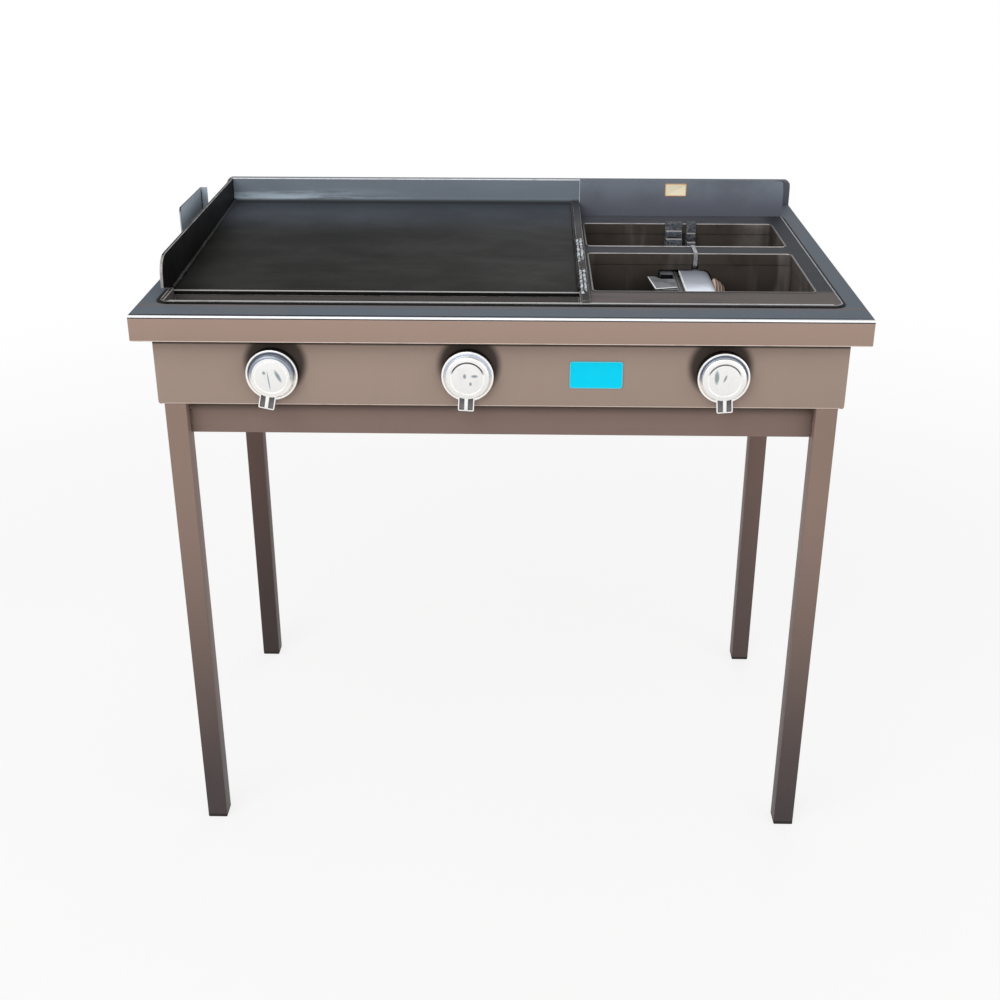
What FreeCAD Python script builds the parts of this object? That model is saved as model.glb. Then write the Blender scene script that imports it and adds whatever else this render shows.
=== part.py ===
import FreeCAD, Part
import math
import os
import re
import Sketcher
from FreeCAD import Rotation, Vector

# Outdoor gas griddle station on four square legs: a folded worktop carries a drop-in
# griddle on the left and a two-opening burner well on the right.
# Millimetres. Origin on the floor under the middle of the worktop, +X to the cook's right,
# +Y to the back, +Z up. Places from the front edge are written as front + distance.

SIZES = {
    # worktop
    "worktop_width": 1000,
    "worktop_depth": 700,
    "worktop_height": 847,
    "worktop_sheet": 1.5,
    "apron_drop": 37,
    "apron_return": 12,
    "upstand_rise": 43,
    "upstand_thick": 14,
    "upstand_corner": 9,
    # legs, feet and rails
    "leg_side": 30,
    "leg_wall": 1.5,
    "leg_side_inset": 31,
    "leg_front_inset": 25.5,
    "leg_rear_inset": 140,
    "body_drop": 135,
    "foot_height": 6,
    "foot_plug": 14,
    "foot_play": 0.2,
    "foot_chamfer": 1.5,
    "rail_height": 50,
    "rail_depth": 20,
    "rail_wall": 1.5,
    "rail_recess": 18.5,
    # front, side and rear panels
    "panel_sheet": 1.5,
    "panel_overlap": 7.5,
    "panel_wrap": 21,
    "panel_return": 14,
    "panel_corner": 4,
    "panel_slot_length": 40,
    "panel_slot_width": 6,
    "panel_slot_pitch": 60,
    "panel_slot_rise": 88,
    "panel_slot_count": 12,
    "screw_shank": 2,
    "screw_head": 4,
    "screw_head_thick": 2,
    "screw_play": 0.1,
    "screw_edge": 13,
    "screw_pitch": 56,
    # drop-in cooking top
    "ring_thick": 2,
    "ring_front": 60,
    "ring_rear_inset": 100,
    "ring_left_inset": 28,
    "ring_corner": 14,
    "rear_strip": 74,
    "cutout_play": 1,
    "deck_right_inset": 29,
    "deck_left_strip": 7,
    "deck_right_strip": 28.5,
    "deck_corner": 14,
    # griddle plate, trough, guards and fire box
    "plate_inset": 4.5,
    "plate_front": 126,
    "plate_sink": 1,
    "plate_thick": 6,
    "griddle_tilt": 3,
    "plate_gap": 0.5,
    "trough_front": 64,
    "trough_depth": 20,
    "trough_sheet": 1.5,
    "trough_overhang": 2,
    "guard_thick": 4,
    "guard_front": 78,
    "guard_lean": 3,
    "guard_dip": 5,
    "guard_corner": 28,
    "guard_toe_rise": 13,
    "guard_toe_run": 46,
    "splash_inset": 12,
    "splash_rise": 61,
    "splash_sheet": 2,
    "splash_hem": 8,
    "splash_corner": 6,
    "divider_width": 12,
    "divider_rise": 4,
    "bead_right": 3.5,
    "bead_left": 5,
    "box_sheet": 1.5,
    "flue_width": 30,
    "flue_height": 8,
    "flue_edge": 41,
    "flue_count": 10,
    # burner well
    "well_width": 311.5,
    "well_front": 124,
    "rear_well_depth": 148,
    "bar_depth": 47,
    "well_corner": 7,
    "rim_width": 3,
    "rim_rise": 1.2,
    "lip_drop": 14,
    "lip_sheet": 1.5,
    "tub_sheet": 1.5,
    "tub_depth": 112,
    # gas train
    "knob_drop": 87,
    "knob_left_inset": 154.5,
    "knob_middle_inset": 168,
    "knob_right_inset": 175,
    "manifold_drop": 32,
    "manifold_place": 62,
    "manifold_radius": 11,
    "manifold_wall": 2.5,
    "manifold_overrun": 60,
    "plug_length": 10,
    "saddle_width": 16,
    "saddle_spread": 190,
    "supply_radius": 6,
    "supply_wall": 1,
    "supply_reach": 18,
    "inlet_nut_length": 12,
    "inlet_nut_radius": 10,
    "barb_radius": 5,
    "barb_length": 24,
    "barb_bore": 3,
    "spindle_radius": 4,
    "spindle_play": 0.06,
    "spindle_front": 15,
    "spindle_back": 20,
    "valve_bonnet": 13,
    "valve_neck": 9,
    "valve_radius": 12,
    "valve_boss": 8,
    "valve_bonnet_length": 5,
    "valve_neck_length": 11,
    "valve_body_length": 34,
    "valve_boss_length": 10,
    "valve_stem": 7,
    "valve_bore": 28,
    "panel_hole": 6,
    "jet_radius": 5,
    "jet_tip": 1.5,
    "jet_length": 12,
    # knobs
    "knob_radius": 36,
    "knob_thick": 7,
    "knob_rim": 3,
    "knob_rim_depth": 2.5,
    "knob_groove": 2,
    "knob_hub_length": 7,
    "knob_hub_taper": 1,
    "knob_dome_rise": 3,
    "knob_standoff": 6.5,
    "knob_bore_depth": 9,
    "knob_play": 0.05,
    "knob_left_turn": 12,
    "knob_middle_turn": 3,
    "knob_right_turn": 4.5,
    "lever_width": 22,
    "lever_reach": 13,
    "lever_thick": 6,
    "rib_width": 6,
    "rib_thick": 12,
    "bezel_radius": 36,
    "bezel_thick": 3,
    # griddle burners and their air shutters
    "burner_radius": 17,
    "burner_wall": 1.5,
    "burner_front": 92,
    "burner_rear_gap": 21,
    "port_radius": 1.6,
    "port_count": 19,
    "port_start": 60,
    "port_end": 29,
    "window_front": 8,
    "window_length": 16,
    "window_width": 14,
    "shutter_front": 96,
    "shutter_length": 24,
    "shutter_wall": 1.5,
    "shutter_play": 0.08,
    "rack_rear_gap": 46,
    "rack_depth": 12,
    # burner hung in the well
    "burner_inset": 141,
    "burner_width": 49,
    "burner_front_share": 0.343,
    "burner_tuck": 21,
    "burner_drop": 25,
    "burner_rise": 36,
    "burner_crown": 24,
    "burner_shoulder": 12,
    "flange_thick": 10,
    "flange_overlap": 5,
    "flange_drop": 2,
    "flange_corner": 10,
    "nose_gap": 19,
    "nose_rise": 10,
    "nose_radius": 27,
    "nose_length": 18,
    "igniter_plate_reach": 41,
    "igniter_plate_thick": 3,
    "igniter_plate_back": 117,
    "igniter_plate_length": 74,
    "igniter_reach": 19,
    "igniter_gap": 2,
    "igniter_length": 32,
    "igniter_height": 14,
    "pin_gap": 25,
    "pin_radius": 3,
    "burner_window_gap": 2,
    "feed_radius": 7,
    "feed_wall": 1.2,
    "feed_bend": 20,
    "feed_gap": 45,
    "feed_play": 0.3,
    "strap_width": 6,
    "strap_thick": 1.5,
    "strap_inset": 22,
    "strap_grip": 46,
    "strap_lap": 5,
    "hook_inset": 136,
    "hook_wide": 29,
    "hook_slit": 6.5,
    "hook_narrow": 16.5,
    "hook_sheet": 1.5,
    "hook_lap": 15,
    # bracket on the left edge, badge and label
    "bracket_front": 331,
    "bracket_length": 150,
    "bracket_rise": 70,
    "bracket_sheet": 2.5,
    "bracket_return": 9,
    "bracket_foot": 10,
    "bracket_corner": 6,
    "bracket_slot": 3,
    "badge_inset": 28,
    "badge_rise": 28,
    "badge_width": 73,
    "badge_height": 39,
    "badge_thick": 1.5,
    "badge_corner": 4,
    "label_inset": 146,
    "label_rise": 34,
    "label_width": 36,
    "label_height": 21,
    "label_thick": 1.2,
    "label_corner": 1.5,
}

# Places that follow from the sizes, as formulas of sizes and of other places.
PLACES = {
    "front": "-worktop_depth / 2",
    "rear": "worktop_depth / 2",
    "half_width": "worktop_width / 2",
    "top_under": "worktop_height - worktop_sheet",
    # frame and panels
    "leg_outer": "half_width - leg_side_inset",
    "leg_inner": "leg_outer - leg_side",
    "leg_front": "front + leg_front_inset",
    "leg_rear": "rear - leg_rear_inset",
    "rail_top": "worktop_height - body_drop",
    "rail_bottom": "rail_top - rail_height",
    "rail_front": "leg_front + rail_recess",
    "panel_bottom": "rail_top",
    "panel_side": "leg_outer + panel_overlap",
    "panel_front": "leg_front - panel_sheet",
    "panel_height": "top_under - panel_bottom",
    # drop-in top
    "ring_top": "worktop_height + ring_thick",
    "ring_rear": "worktop_depth - ring_rear_inset",
    "ring_left": "half_width - ring_left_inset",
    "deck_right": "half_width - deck_right_inset",
    "well_right": "deck_right - deck_right_strip",
    "well_left": "well_right - well_width",
    "well_rear": "ring_rear - rear_strip",
    "well_bar_rear": "well_rear - rear_well_depth",
    "well_bar_front": "well_bar_rear - bar_depth",
    "rim_top": "ring_top + rim_rise",
    "split": "well_left - deck_left_strip",
    "plate_left": "ring_left - plate_inset",
    "plate_right": "split - divider_width",
    "plate_width": "plate_left + plate_right",
    "plate_front_height": "worktop_height - plate_sink",
    "plate_length": "(splash_front - plate_gap - plate_front) / cos(griddle_tilt)",
    "splash_front": "ring_rear - splash_inset",
    "splash_top": "ring_top + splash_rise",
    "trough_rear": "plate_front + trough_overhang",
    "box_front": "trough_rear + trough_sheet",
    "box_rear": "ring_rear - rear_strip",
    "box_bottom": "rail_top",
    "flue_pitch": "(plate_width - flue_width - 2 * flue_edge) / (flue_count - 1)",
    "plate_under": "plate_front_height - plate_thick / cos(griddle_tilt)",
    "box_top_front": "plate_under + (box_front - plate_front) * tan(griddle_tilt)",
    "box_top_rear": "plate_under + (box_rear - plate_front) * tan(griddle_tilt)",
    "tub_left": "well_left - lip_sheet - tub_sheet",
    "tub_right": "well_right + lip_sheet + tub_sheet",
    "tub_front": "well_front - lip_sheet - tub_sheet",
    "tub_rear": "well_rear + lip_sheet + tub_sheet",
    "tub_floor": "worktop_height - tub_depth",
    "lip_bottom": "worktop_height - lip_drop",
    # burner in the front well
    "burner_left": "well_left + burner_inset",
    "burner_right": "burner_left + burner_width",
    "burner_near": "well_front + burner_front_share * (well_bar_front - well_front)",
    "burner_far": "well_bar_front + burner_tuck",
    "burner_top": "worktop_height - burner_drop",
    "burner_bottom": "burner_top - burner_rise",
    "nose_place": "well_bar_front - nose_gap - nose_radius",
    "nose_height": "burner_bottom + nose_rise",
    "flange_left": "burner_left - flange_thick",
    "flange_top": "burner_top - flange_drop",
    "igniter_plate_left": "flange_left - igniter_plate_reach",
    "igniter_plate_near": "burner_far - igniter_plate_back",
    "pin_place": "burner_near + pin_gap",
    "feed_place": "burner_near + feed_gap",
    "strap_left": "burner_left + strap_inset",
    # knobs, gas train and griddle burners
    "knob_hub": "knob_radius - knob_rim - knob_groove",
    "knob_height": "worktop_height - knob_drop",
    "knob_left_x": "knob_left_inset - plate_left",
    "knob_middle_x": "split - knob_middle_inset",
    "knob_right_x": "well_left + knob_right_inset",
    "bezel_front": "panel_front - bezel_thick",
    "knob_back": "panel_front - knob_standoff",
    "manifold_height": "knob_height - manifold_drop",
    "manifold_left": "knob_left_x - manifold_overrun",
    "manifold_right": "knob_right_x + manifold_overrun",
    "valve_length": "valve_bonnet_length + valve_neck_length + valve_body_length + valve_boss_length",
    "valve_rear": "leg_front + valve_length",
    "supply_x": "(plate_right + tub_left) / 2",
    "burner_rear": "box_rear - burner_rear_gap",
    "port_pitch": "(burner_rear - burner_front - port_start - port_end) / (port_count - 1)",
    "rack_front": "box_rear - rack_rear_gap",
}

# Knob places along the panel: node ending and name of its X.
KNOBS = [("left", "knob_left_x"), ("middle", "knob_middle_x"), ("right", "knob_right_x")]
GRIDDLE_KNOBS = KNOBS[:2]

doc = FreeCAD.newDocument("gas_griddle_station")
sheet = doc.addObject("Spreadsheet::Sheet", "Sizes")
for row, (alias, number) in enumerate(SIZES.items(), start=1):
    sheet.set(f"A{row}", alias)
    sheet.set(f"B{row}", str(number))
    sheet.setAlias(f"B{row}", alias)
doc.recompute()

PARTS = []


def formula(text):
    """Write a formula of sizes and places as an expression on the sheet's cells."""
    def word(match):
        name = match.group(0)
        if name in PLACES:
            return "(" + formula(PLACES[name]) + ")"
        return "Sizes." + name if name in SIZES else name
    return re.sub(r"[a-z][a-z_0-9]*", word, str(text))


def bind(thing, field, text):
    thing.setExpression(field, formula(text))


def at(thing, x=0, y=0, z=0):
    """Bind the place of an object's own origin."""
    for letter, text in zip("xyz", (x, y, z)):
        bind(thing, f"Placement.Base.{letter}", text)
    return thing


def keep(thing, label):
    """Name a finished sub-part, which gets a file of its own."""
    thing.Label = label
    PARTS.append(thing)
    return thing


# Solids from primitives

def block(x, y, z, length, width, height):
    box = doc.addObject("Part::Box", "Block")
    for field, text in (("Length", length), ("Width", width), ("Height", height)):
        bind(box, field, text)
    return at(box, x, y, z)


TILT = Rotation(Vector(1, 0, 0), 1)
TURNS = {
    "x": Rotation(Vector(0, 1, 0), 90),
    "y": Rotation(Vector(1, 0, 0), -90),
    "z": Rotation(),
}


def rod(axis, x, y, z, radius, length):
    """Cylinder from x, y, z along an axis."""
    cylinder = doc.addObject("Part::Cylinder", "Rod")
    cylinder.Placement.Rotation = TURNS[axis]
    bind(cylinder, "Radius", radius)
    bind(cylinder, "Height", length)
    return at(cylinder, x, y, z)


def cone(axis, x, y, z, radius, end_radius, length):
    tapered = doc.addObject("Part::Cone", "Taper")
    tapered.Placement.Rotation = TURNS[axis]
    bind(tapered, "Radius1", radius)
    bind(tapered, "Radius2", end_radius)
    bind(tapered, "Height", length)
    return at(tapered, x, y, z)


def join(*pieces):
    fuse = doc.addObject("Part::MultiFuse", "Join")
    fuse.Shapes = list(pieces)
    fuse.Refine = True
    return fuse


def group(*pieces):
    """Separate solids that share one node."""
    compound = doc.addObject("Part::Compound", "Group")
    compound.Links = list(pieces)
    return compound


def cut(base, *tools):
    result = doc.addObject("Part::Cut", "Cut")
    result.Base = base
    result.Tool = tools[0] if len(tools) == 1 else join(*tools)
    result.Refine = True
    return result


# Bodies from sketches

def new_body(name):
    return doc.addObject("PartDesign::Body", name.title().replace("_", ""))


def sketch(body, role, offset="0"):
    """Sketch on one of the body's own origin planes, moved along its normal."""
    drawing = body.newObject("Sketcher::SketchObject", "Sketch")
    plane = next(item for item in body.Origin.OriginFeatures if item.Role == role)
    drawing.AttachmentSupport = [(plane, "")]
    drawing.MapMode = "FlatFace"
    if offset != "0":
        bind(drawing, "AttachmentOffset.Base.z", offset)
    return drawing


def fix(drawing, kind, geometry, point, text):
    """Distance of a point from the sketch's origin along one axis, bound to a formula."""
    index = drawing.addConstraint(Sketcher.Constraint(kind, -1, 1, geometry, point, 10.0))
    bind(drawing, f"Constraints[{index}]", text)


def upper_front(shape):
    """Test for edges above and in front of a shape's middle."""
    middle = shape.BoundBox.Center
    return lambda edge: edge.CenterOfMass.z > middle.z and edge.CenterOfMass.y < middle.y


def outline(drawing, corners):
    """Closed outline of straight lines through corners given as formulas."""
    count = len(corners)
    first = drawing.GeometryCount
    spots = [Vector(math.cos(2 * math.pi * i / count), math.sin(2 * math.pi * i / count), 0)
             for i in range(count)]
    for i in range(count):
        drawing.addGeometry(Part.LineSegment(spots[i], spots[(i + 1) % count]), False)
    for i in range(count):
        after = first + (i + 1) % count
        drawing.addConstraint(Sketcher.Constraint("Coincident", first + i, 2, after, 1))
    for i, (across, up) in enumerate(corners):
        fix(drawing, "DistanceX", first + i, 1, across)
        fix(drawing, "DistanceY", first + i, 1, up)


def rectangle(drawing, left, bottom, right, top):
    outline(drawing, [(left, bottom), (right, bottom), (right, top), (left, top)])


def circle(drawing, across, up, radius):
    index = drawing.addGeometry(Part.Circle(Vector(0, 0, 0), Vector(0, 0, 1), 5), False)
    limit = drawing.addConstraint(Sketcher.Constraint("Radius", index, 5.0))
    bind(drawing, f"Constraints[{limit}]", radius)
    fix(drawing, "DistanceX", index, 3, across)
    fix(drawing, "DistanceY", index, 3, up)


def pad(body, drawing, length, back=False):
    feature = body.newObject("PartDesign::Pad", "Pad")
    feature.Profile = drawing
    feature.Reversed = back
    bind(feature, "Length", length)
    return feature


def pocket(body, drawing, length, back=False):
    feature = body.newObject("PartDesign::Pocket", "Pocket")
    feature.Profile = drawing
    feature.Reversed = back
    bind(feature, "Length", length)
    return feature


def revolve(body, drawing, axis):
    """Turn a sketch about its own horizontal or vertical axis."""
    feature = body.newObject("PartDesign::Revolution", "Revolution")
    feature.Profile = drawing
    feature.ReferenceAxis = (drawing, [axis])
    feature.Angle = 360
    return feature


def repeat(body, feature, role, pitch, count):
    """Row of copies along one of the body's own origin axes."""
    pattern = body.newObject("PartDesign::LinearPattern", "Row")
    pattern.Originals = [feature]
    axis = next(item for item in body.Origin.OriginFeatures if item.Role == role)
    pattern.Direction = (axis, [""])
    bind(pattern, "Length", f"{pitch} * ({count} - 1)")
    bind(pattern, "Occurrences", count)
    body.Tip = pattern
    return pattern


def edges_along(shape, direction, test=None):
    """Names of the straight edges along a direction that pass a test."""
    names = []
    for index, edge in enumerate(shape.Edges, start=1):
        if not isinstance(edge.Curve, Part.Line):
            continue
        if abs(abs(edge.Curve.Direction.dot(direction)) - 1) > 1e-6:
            continue
        if test is None or test(edge):
            names.append(f"Edge{index}")
    return names


def dress(body, kind, base, names, field, text):
    feature = body.newObject(kind, "Dress")
    feature.Base = (base, names)
    bind(feature, field, text)
    return feature


def round_edges(body, base, names, radius):
    return dress(body, "PartDesign::Fillet", base, names, "Radius", radius)


def chamfer_edges(body, base, names, size):
    return dress(body, "PartDesign::Chamfer", base, names, "Size", size)


def rounded_plate(name, role, width, height, thick, corner, back=False):
    """Plate with rounded corners, drawn on an origin plane from its lower left corner."""
    body = new_body(name)
    drawing = sketch(body, role)
    rectangle(drawing, "0", "0", width, height)
    slab = pad(body, drawing, thick, back)
    doc.recompute()
    normal = {"XY_Plane": Vector(0, 0, 1), "XZ_Plane": Vector(0, 1, 0), "YZ_Plane": Vector(1, 0, 0)}
    round_edges(body, slab, edges_along(slab.Shape, normal[role]), corner)
    return body


# Legs, feet and rails

def leg(label, x, y, screw_face=None):
    """Square tube; a rear leg has three screw holes in its rear wall."""
    body = new_body(label)
    section = sketch(body, "XY_Plane")
    rectangle(section, "0", "0", "leg_side", "leg_side")
    rectangle(section, "leg_wall", "leg_wall", "leg_side - leg_wall", "leg_side - leg_wall")
    pad(body, section, "top_under - foot_height")
    if screw_face:
        holes = sketch(body, "XZ_Plane", f"-({screw_face})")
        for step in range(3):
            rise = f"panel_bottom + screw_edge + {step} * screw_pitch - foot_height"
            circle(holes, "leg_side / 2", rise, "screw_shank + screw_play")
        pocket(body, holes, "leg_wall", back=True)
    at(body, x, y, "foot_height")
    return keep(body, label)


def foot(label, x, y):
    """Plastic foot under a leg, with a plug that fills the tube's end."""
    body = new_body(label)
    pad_sketch = sketch(body, "XY_Plane")
    rectangle(pad_sketch, "0", "0", "leg_side", "leg_side")
    sole = pad(body, pad_sketch, "foot_height")
    doc.recompute()
    ground = [f"Edge{i}" for i, edge in enumerate(sole.Shape.Edges, start=1)
              if edge.CenterOfMass.z < 1e-6]
    chamfer_edges(body, sole, ground, "foot_chamfer")
    plug_sketch = sketch(body, "XY_Plane", "foot_height")
    near = "leg_wall + foot_play"
    far = "leg_side - leg_wall - foot_play"
    rectangle(plug_sketch, near, near, far, far)
    pad(body, plug_sketch, "foot_plug")
    at(body, x, y, "0")
    return keep(body, label)


def rail(label, axis, x, y, length):
    """Rectangular tube between two legs."""
    body = new_body(label)
    section = sketch(body, "YZ_Plane" if axis == "x" else "XZ_Plane")
    rectangle(section, "0", "0", "rail_depth", "rail_height")
    rectangle(section, "rail_wall", "rail_wall", "rail_depth - rail_wall", "rail_height - rail_wall")
    pad(body, section, length, back=(axis == "y"))
    at(body, x, y, "rail_bottom")
    return keep(body, label)


def make_frame():
    left = "-leg_outer"
    right = "leg_outer - leg_side"
    near = "leg_front"
    far = "leg_rear - leg_side"
    corners = (
        ("front_left", left, near, None),
        ("front_right", right, near, None),
        ("rear_left", left, far, "leg_side"),
        ("rear_right", right, far, "leg_side"),
    )
    for ending, x, y, screw_face in corners:
        leg(f"leg_{ending}", x, y, screw_face)
        foot(f"foot_{ending}", x, y)
    across = "2 * leg_inner"
    along = "leg_rear - leg_front - 2 * leg_side"
    rail("rail_front", "x", "-leg_inner", "rail_front", across)
    rail("rail_rear", "x", "-leg_inner", "leg_rear - rail_depth", across)
    rail("rail_left", "y", "-leg_outer", "leg_front + leg_side", along)
    rail("rail_right", "y", "leg_outer - rail_depth", "leg_front + leg_side", along)


# Worktop

def make_worktop():
    """Folded sheet with aprons all round, a cut-out and a hollow rear upstand."""
    shell = cut(
        block("-half_width", "front", "worktop_height - apron_drop",
              "worktop_width", "worktop_depth", "apron_drop"),
        block("-half_width + worktop_sheet", "front + worktop_sheet",
              "worktop_height - apron_drop + worktop_sheet", "worktop_width - 2 * worktop_sheet",
              "worktop_depth - 2 * worktop_sheet", "apron_drop - 2 * worktop_sheet"),
        block("-half_width + apron_return", "front + apron_return", "worktop_height - apron_drop",
              "worktop_width - 2 * apron_return", "worktop_depth - 2 * apron_return",
              "worktop_sheet"),
        block("-plate_left - cutout_play", "front + trough_front - cutout_play", "top_under",
              "plate_left + tub_right + 2 * cutout_play",
              "tub_rear - trough_front + 2 * cutout_play", "worktop_sheet"))
    upstand = rounded_plate("upstand", "XZ_Plane", "worktop_width", "upstand_rise + worktop_sheet",
                            "upstand_thick", "upstand_corner")
    at(upstand, "-half_width", "rear", "top_under")
    foot_of_upstand = block("-half_width", "rear - upstand_thick", "top_under", "worktop_width",
                            "upstand_thick", "upstand_corner + worktop_sheet")
    hollow = rounded_plate("upstand_hollow", "XZ_Plane", "worktop_width - 2 * worktop_sheet",
                           "upstand_rise", "upstand_thick - 2 * worktop_sheet",
                           "upstand_corner - worktop_sheet")
    at(hollow, "-half_width + worktop_sheet", "rear - worktop_sheet", "top_under")
    mouth = block("-half_width + worktop_sheet", "rear - upstand_thick + worktop_sheet", "top_under",
                  "worktop_width - 2 * worktop_sheet", "upstand_thick - 2 * worktop_sheet",
                  "upstand_corner")
    keep(cut(join(shell, upstand, foot_of_upstand), hollow, mouth), "worktop")


def make_side_bracket():
    """Upright plate on the left edge, with a rear return and a foot on the worktop."""
    body = new_body("side_bracket")
    face = sketch(body, "YZ_Plane")
    rectangle(face, "0", "0", "bracket_length", "bracket_rise")
    slab = pad(body, face, "bracket_sheet")
    doc.recompute()
    front_top = edges_along(slab.Shape, Vector(1, 0, 0), upper_front(slab.Shape))
    round_edges(body, slab, front_top, "bracket_corner")
    slot = sketch(body, "YZ_Plane")
    rectangle(slot, "bracket_length - bracket_sheet - 2 * bracket_slot", "bracket_rise / 4",
              "bracket_length - bracket_sheet - bracket_slot", "bracket_rise - bracket_slot")
    pocket(body, slot, "bracket_sheet", back=True)
    at(body, "-half_width", "front + bracket_front", "worktop_height")
    back = block("-half_width + bracket_sheet", "front + bracket_front + bracket_length - bracket_sheet",
                 "worktop_height", "bracket_return", "bracket_sheet", "bracket_rise")
    flat = block("-half_width + bracket_sheet", "front + bracket_front", "worktop_height",
                 "bracket_foot", "bracket_length", "bracket_sheet")
    keep(join(body, back, flat), "side_bracket")


# Panels under the worktop

def make_control_panel():
    """Front panel wrapped round the legs, with a bottom return and three spindle holes."""
    body = new_body("control_panel")
    face = sketch(body, "XZ_Plane")
    rectangle(face, "0", "0", "2 * panel_side", "panel_height")
    slab = pad(body, face, "panel_sheet", back=True)
    doc.recompute()
    middle = slab.Shape.BoundBox.Center
    lower = edges_along(slab.Shape, Vector(0, 1, 0), lambda edge: edge.CenterOfMass.z < middle.z)
    round_edges(body, slab, lower, "panel_corner")
    holes = sketch(body, "XZ_Plane")
    for _, x in KNOBS:
        circle(holes, f"panel_side + {x}", "knob_height - panel_bottom", "panel_hole")
    pocket(body, holes, "panel_sheet", back=False)
    at(body, "-panel_side", "panel_front", "panel_bottom")
    wraps = [block(x, "leg_front", "panel_bottom + panel_corner", "panel_sheet",
                   "panel_wrap - panel_sheet", "panel_height - panel_corner")
             for x in ("-panel_side", "panel_side - panel_sheet")]
    lip = block("-leg_inner + panel_sheet", "leg_front", "panel_bottom", "2 * leg_inner - 2 * panel_sheet",
                "panel_return - panel_sheet", "panel_sheet")
    keep(join(body, lip, *wraps), "control_panel")


def make_side_panels():
    """Side skirts with returns that meet the legs' outer faces."""
    start = "panel_front + panel_wrap"
    length = "leg_rear - panel_front - panel_wrap"
    for ending, face_x, return_x in (("left", "-panel_side", "-panel_side"),
                                     ("right", "panel_side - panel_sheet", "leg_outer")):
        face = block(face_x, start, "panel_bottom", "panel_sheet", length, "panel_height")
        ends = [block(return_x, y, "panel_bottom", "panel_overlap", "panel_sheet", "panel_height")
                for y in (start, "leg_rear - panel_sheet")]
        keep(join(face, *ends), f"side_panel_{ending}")


def make_rear_panel():
    """Back sheet with two rows of vent slots, a pipe hole and six screw holes."""
    body = new_body("rear_panel")
    face = sketch(body, "XZ_Plane")
    rectangle(face, "0", "0", "2 * panel_side", "panel_height")
    pad(body, face, "panel_sheet", back=True)
    holes = sketch(body, "XZ_Plane")
    circle(holes, "panel_side + supply_x", "manifold_height - panel_bottom",
           "supply_radius + feed_play")
    for side in ("-1", "1"):
        for step in range(3):
            circle(holes, f"panel_side + {side} * (leg_outer - leg_side / 2)",
                   f"screw_edge + {step} * screw_pitch", "screw_shank + screw_play")
    pocket(body, holes, "panel_sheet")
    slot = sketch(body, "XZ_Plane")
    left = "panel_side - ((panel_slot_count - 1) * panel_slot_pitch + panel_slot_length) / 2"
    rectangle(slot, left, "panel_slot_rise", f"{left} + panel_slot_length",
              "panel_slot_rise + panel_slot_width")
    upper = f"panel_slot_rise + 2.5 * panel_slot_width"
    rectangle(slot, left, upper, f"{left} + panel_slot_length", f"{upper} + panel_slot_width")
    vents = pocket(body, slot, "panel_sheet")
    repeat(body, vents, "X_Axis", "panel_slot_pitch", "panel_slot_count")
    at(body, "-panel_side", "leg_rear", "panel_bottom")
    keep(body, "rear_panel")


def make_panel_screws():
    """Six screws that hold the rear panel to the rear legs."""
    screws = []
    for side in ("-1", "1"):
        for step in range(3):
            x = f"{side} * (leg_outer - leg_side / 2)"
            z = f"panel_bottom + screw_edge + {step} * screw_pitch"
            shank = rod("y", x, "leg_rear - leg_wall", z, "screw_shank",
                        "leg_wall + panel_sheet")
            head = cone("y", x, "leg_rear + panel_sheet", z, "screw_head", "screw_head * 0.6",
                        "screw_head_thick")
            screws.append(join(shank, head))
    keep(group(*screws), "panel_screws")


# Griddle side of the drop-in top

def make_griddle_ring():
    """Flat ring on the worktop round the griddle and its trough."""
    body = new_body("griddle_ring")
    drawing = sketch(body, "XY_Plane")
    rectangle(drawing, "0", "0", "ring_left + split", "ring_rear - ring_front")
    slab = pad(body, drawing, "ring_thick")
    doc.recompute()
    middle = slab.Shape.BoundBox.Center
    left = edges_along(slab.Shape, Vector(0, 0, 1), lambda edge: edge.CenterOfMass.x < middle.x)
    round_edges(body, slab, left, "ring_corner")
    hole = sketch(body, "XY_Plane")
    rectangle(hole, "ring_left - plate_left", "trough_front - ring_front",
              "ring_left + plate_right", "box_rear - ring_front")
    pocket(body, hole, "ring_thick", back=True)
    at(body, "-ring_left", "front + ring_front", "worktop_height")
    keep(body, "griddle_ring")


def make_griddle_plate():
    """Thick steel plate that slopes down to the grease trough at the front."""
    body = new_body("griddle_plate")
    drawing = sketch(body, "XY_Plane")
    rectangle(drawing, "0", "0", "plate_width", "plate_length")
    slab = pad(body, drawing, "plate_thick", back=True)
    doc.recompute()
    front_edge = edges_along(slab.Shape, Vector(1, 0, 0), upper_front(slab.Shape))
    round_edges(body, slab, front_edge, "plate_thick / 3")
    body.Placement.Rotation = TILT
    bind(body, "Placement.Rotation.Angle", "griddle_tilt")
    at(body, "-plate_left", "front + plate_front", "plate_front_height")
    keep(body, "griddle_plate")


def make_grease_trough():
    """Open channel in front of the plate."""
    floor = "ring_top - trough_depth - trough_sheet"
    outer = block("-plate_left", "front + trough_front", floor, "plate_width",
                  "box_front - trough_front", "trough_depth + trough_sheet")
    hollow = block("-plate_left + trough_sheet", "front + trough_front + trough_sheet",
                   "ring_top - trough_depth", "plate_width - 2 * trough_sheet",
                   "trough_rear - trough_front - trough_sheet", "2 * trough_depth")
    under_plate = block("-plate_left", "front + plate_front - plate_gap", "plate_under - plate_gap",
                        "plate_width", "2 * trough_depth", "2 * trough_depth")
    keep(cut(outer, hollow, under_plate), "grease_trough")


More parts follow.
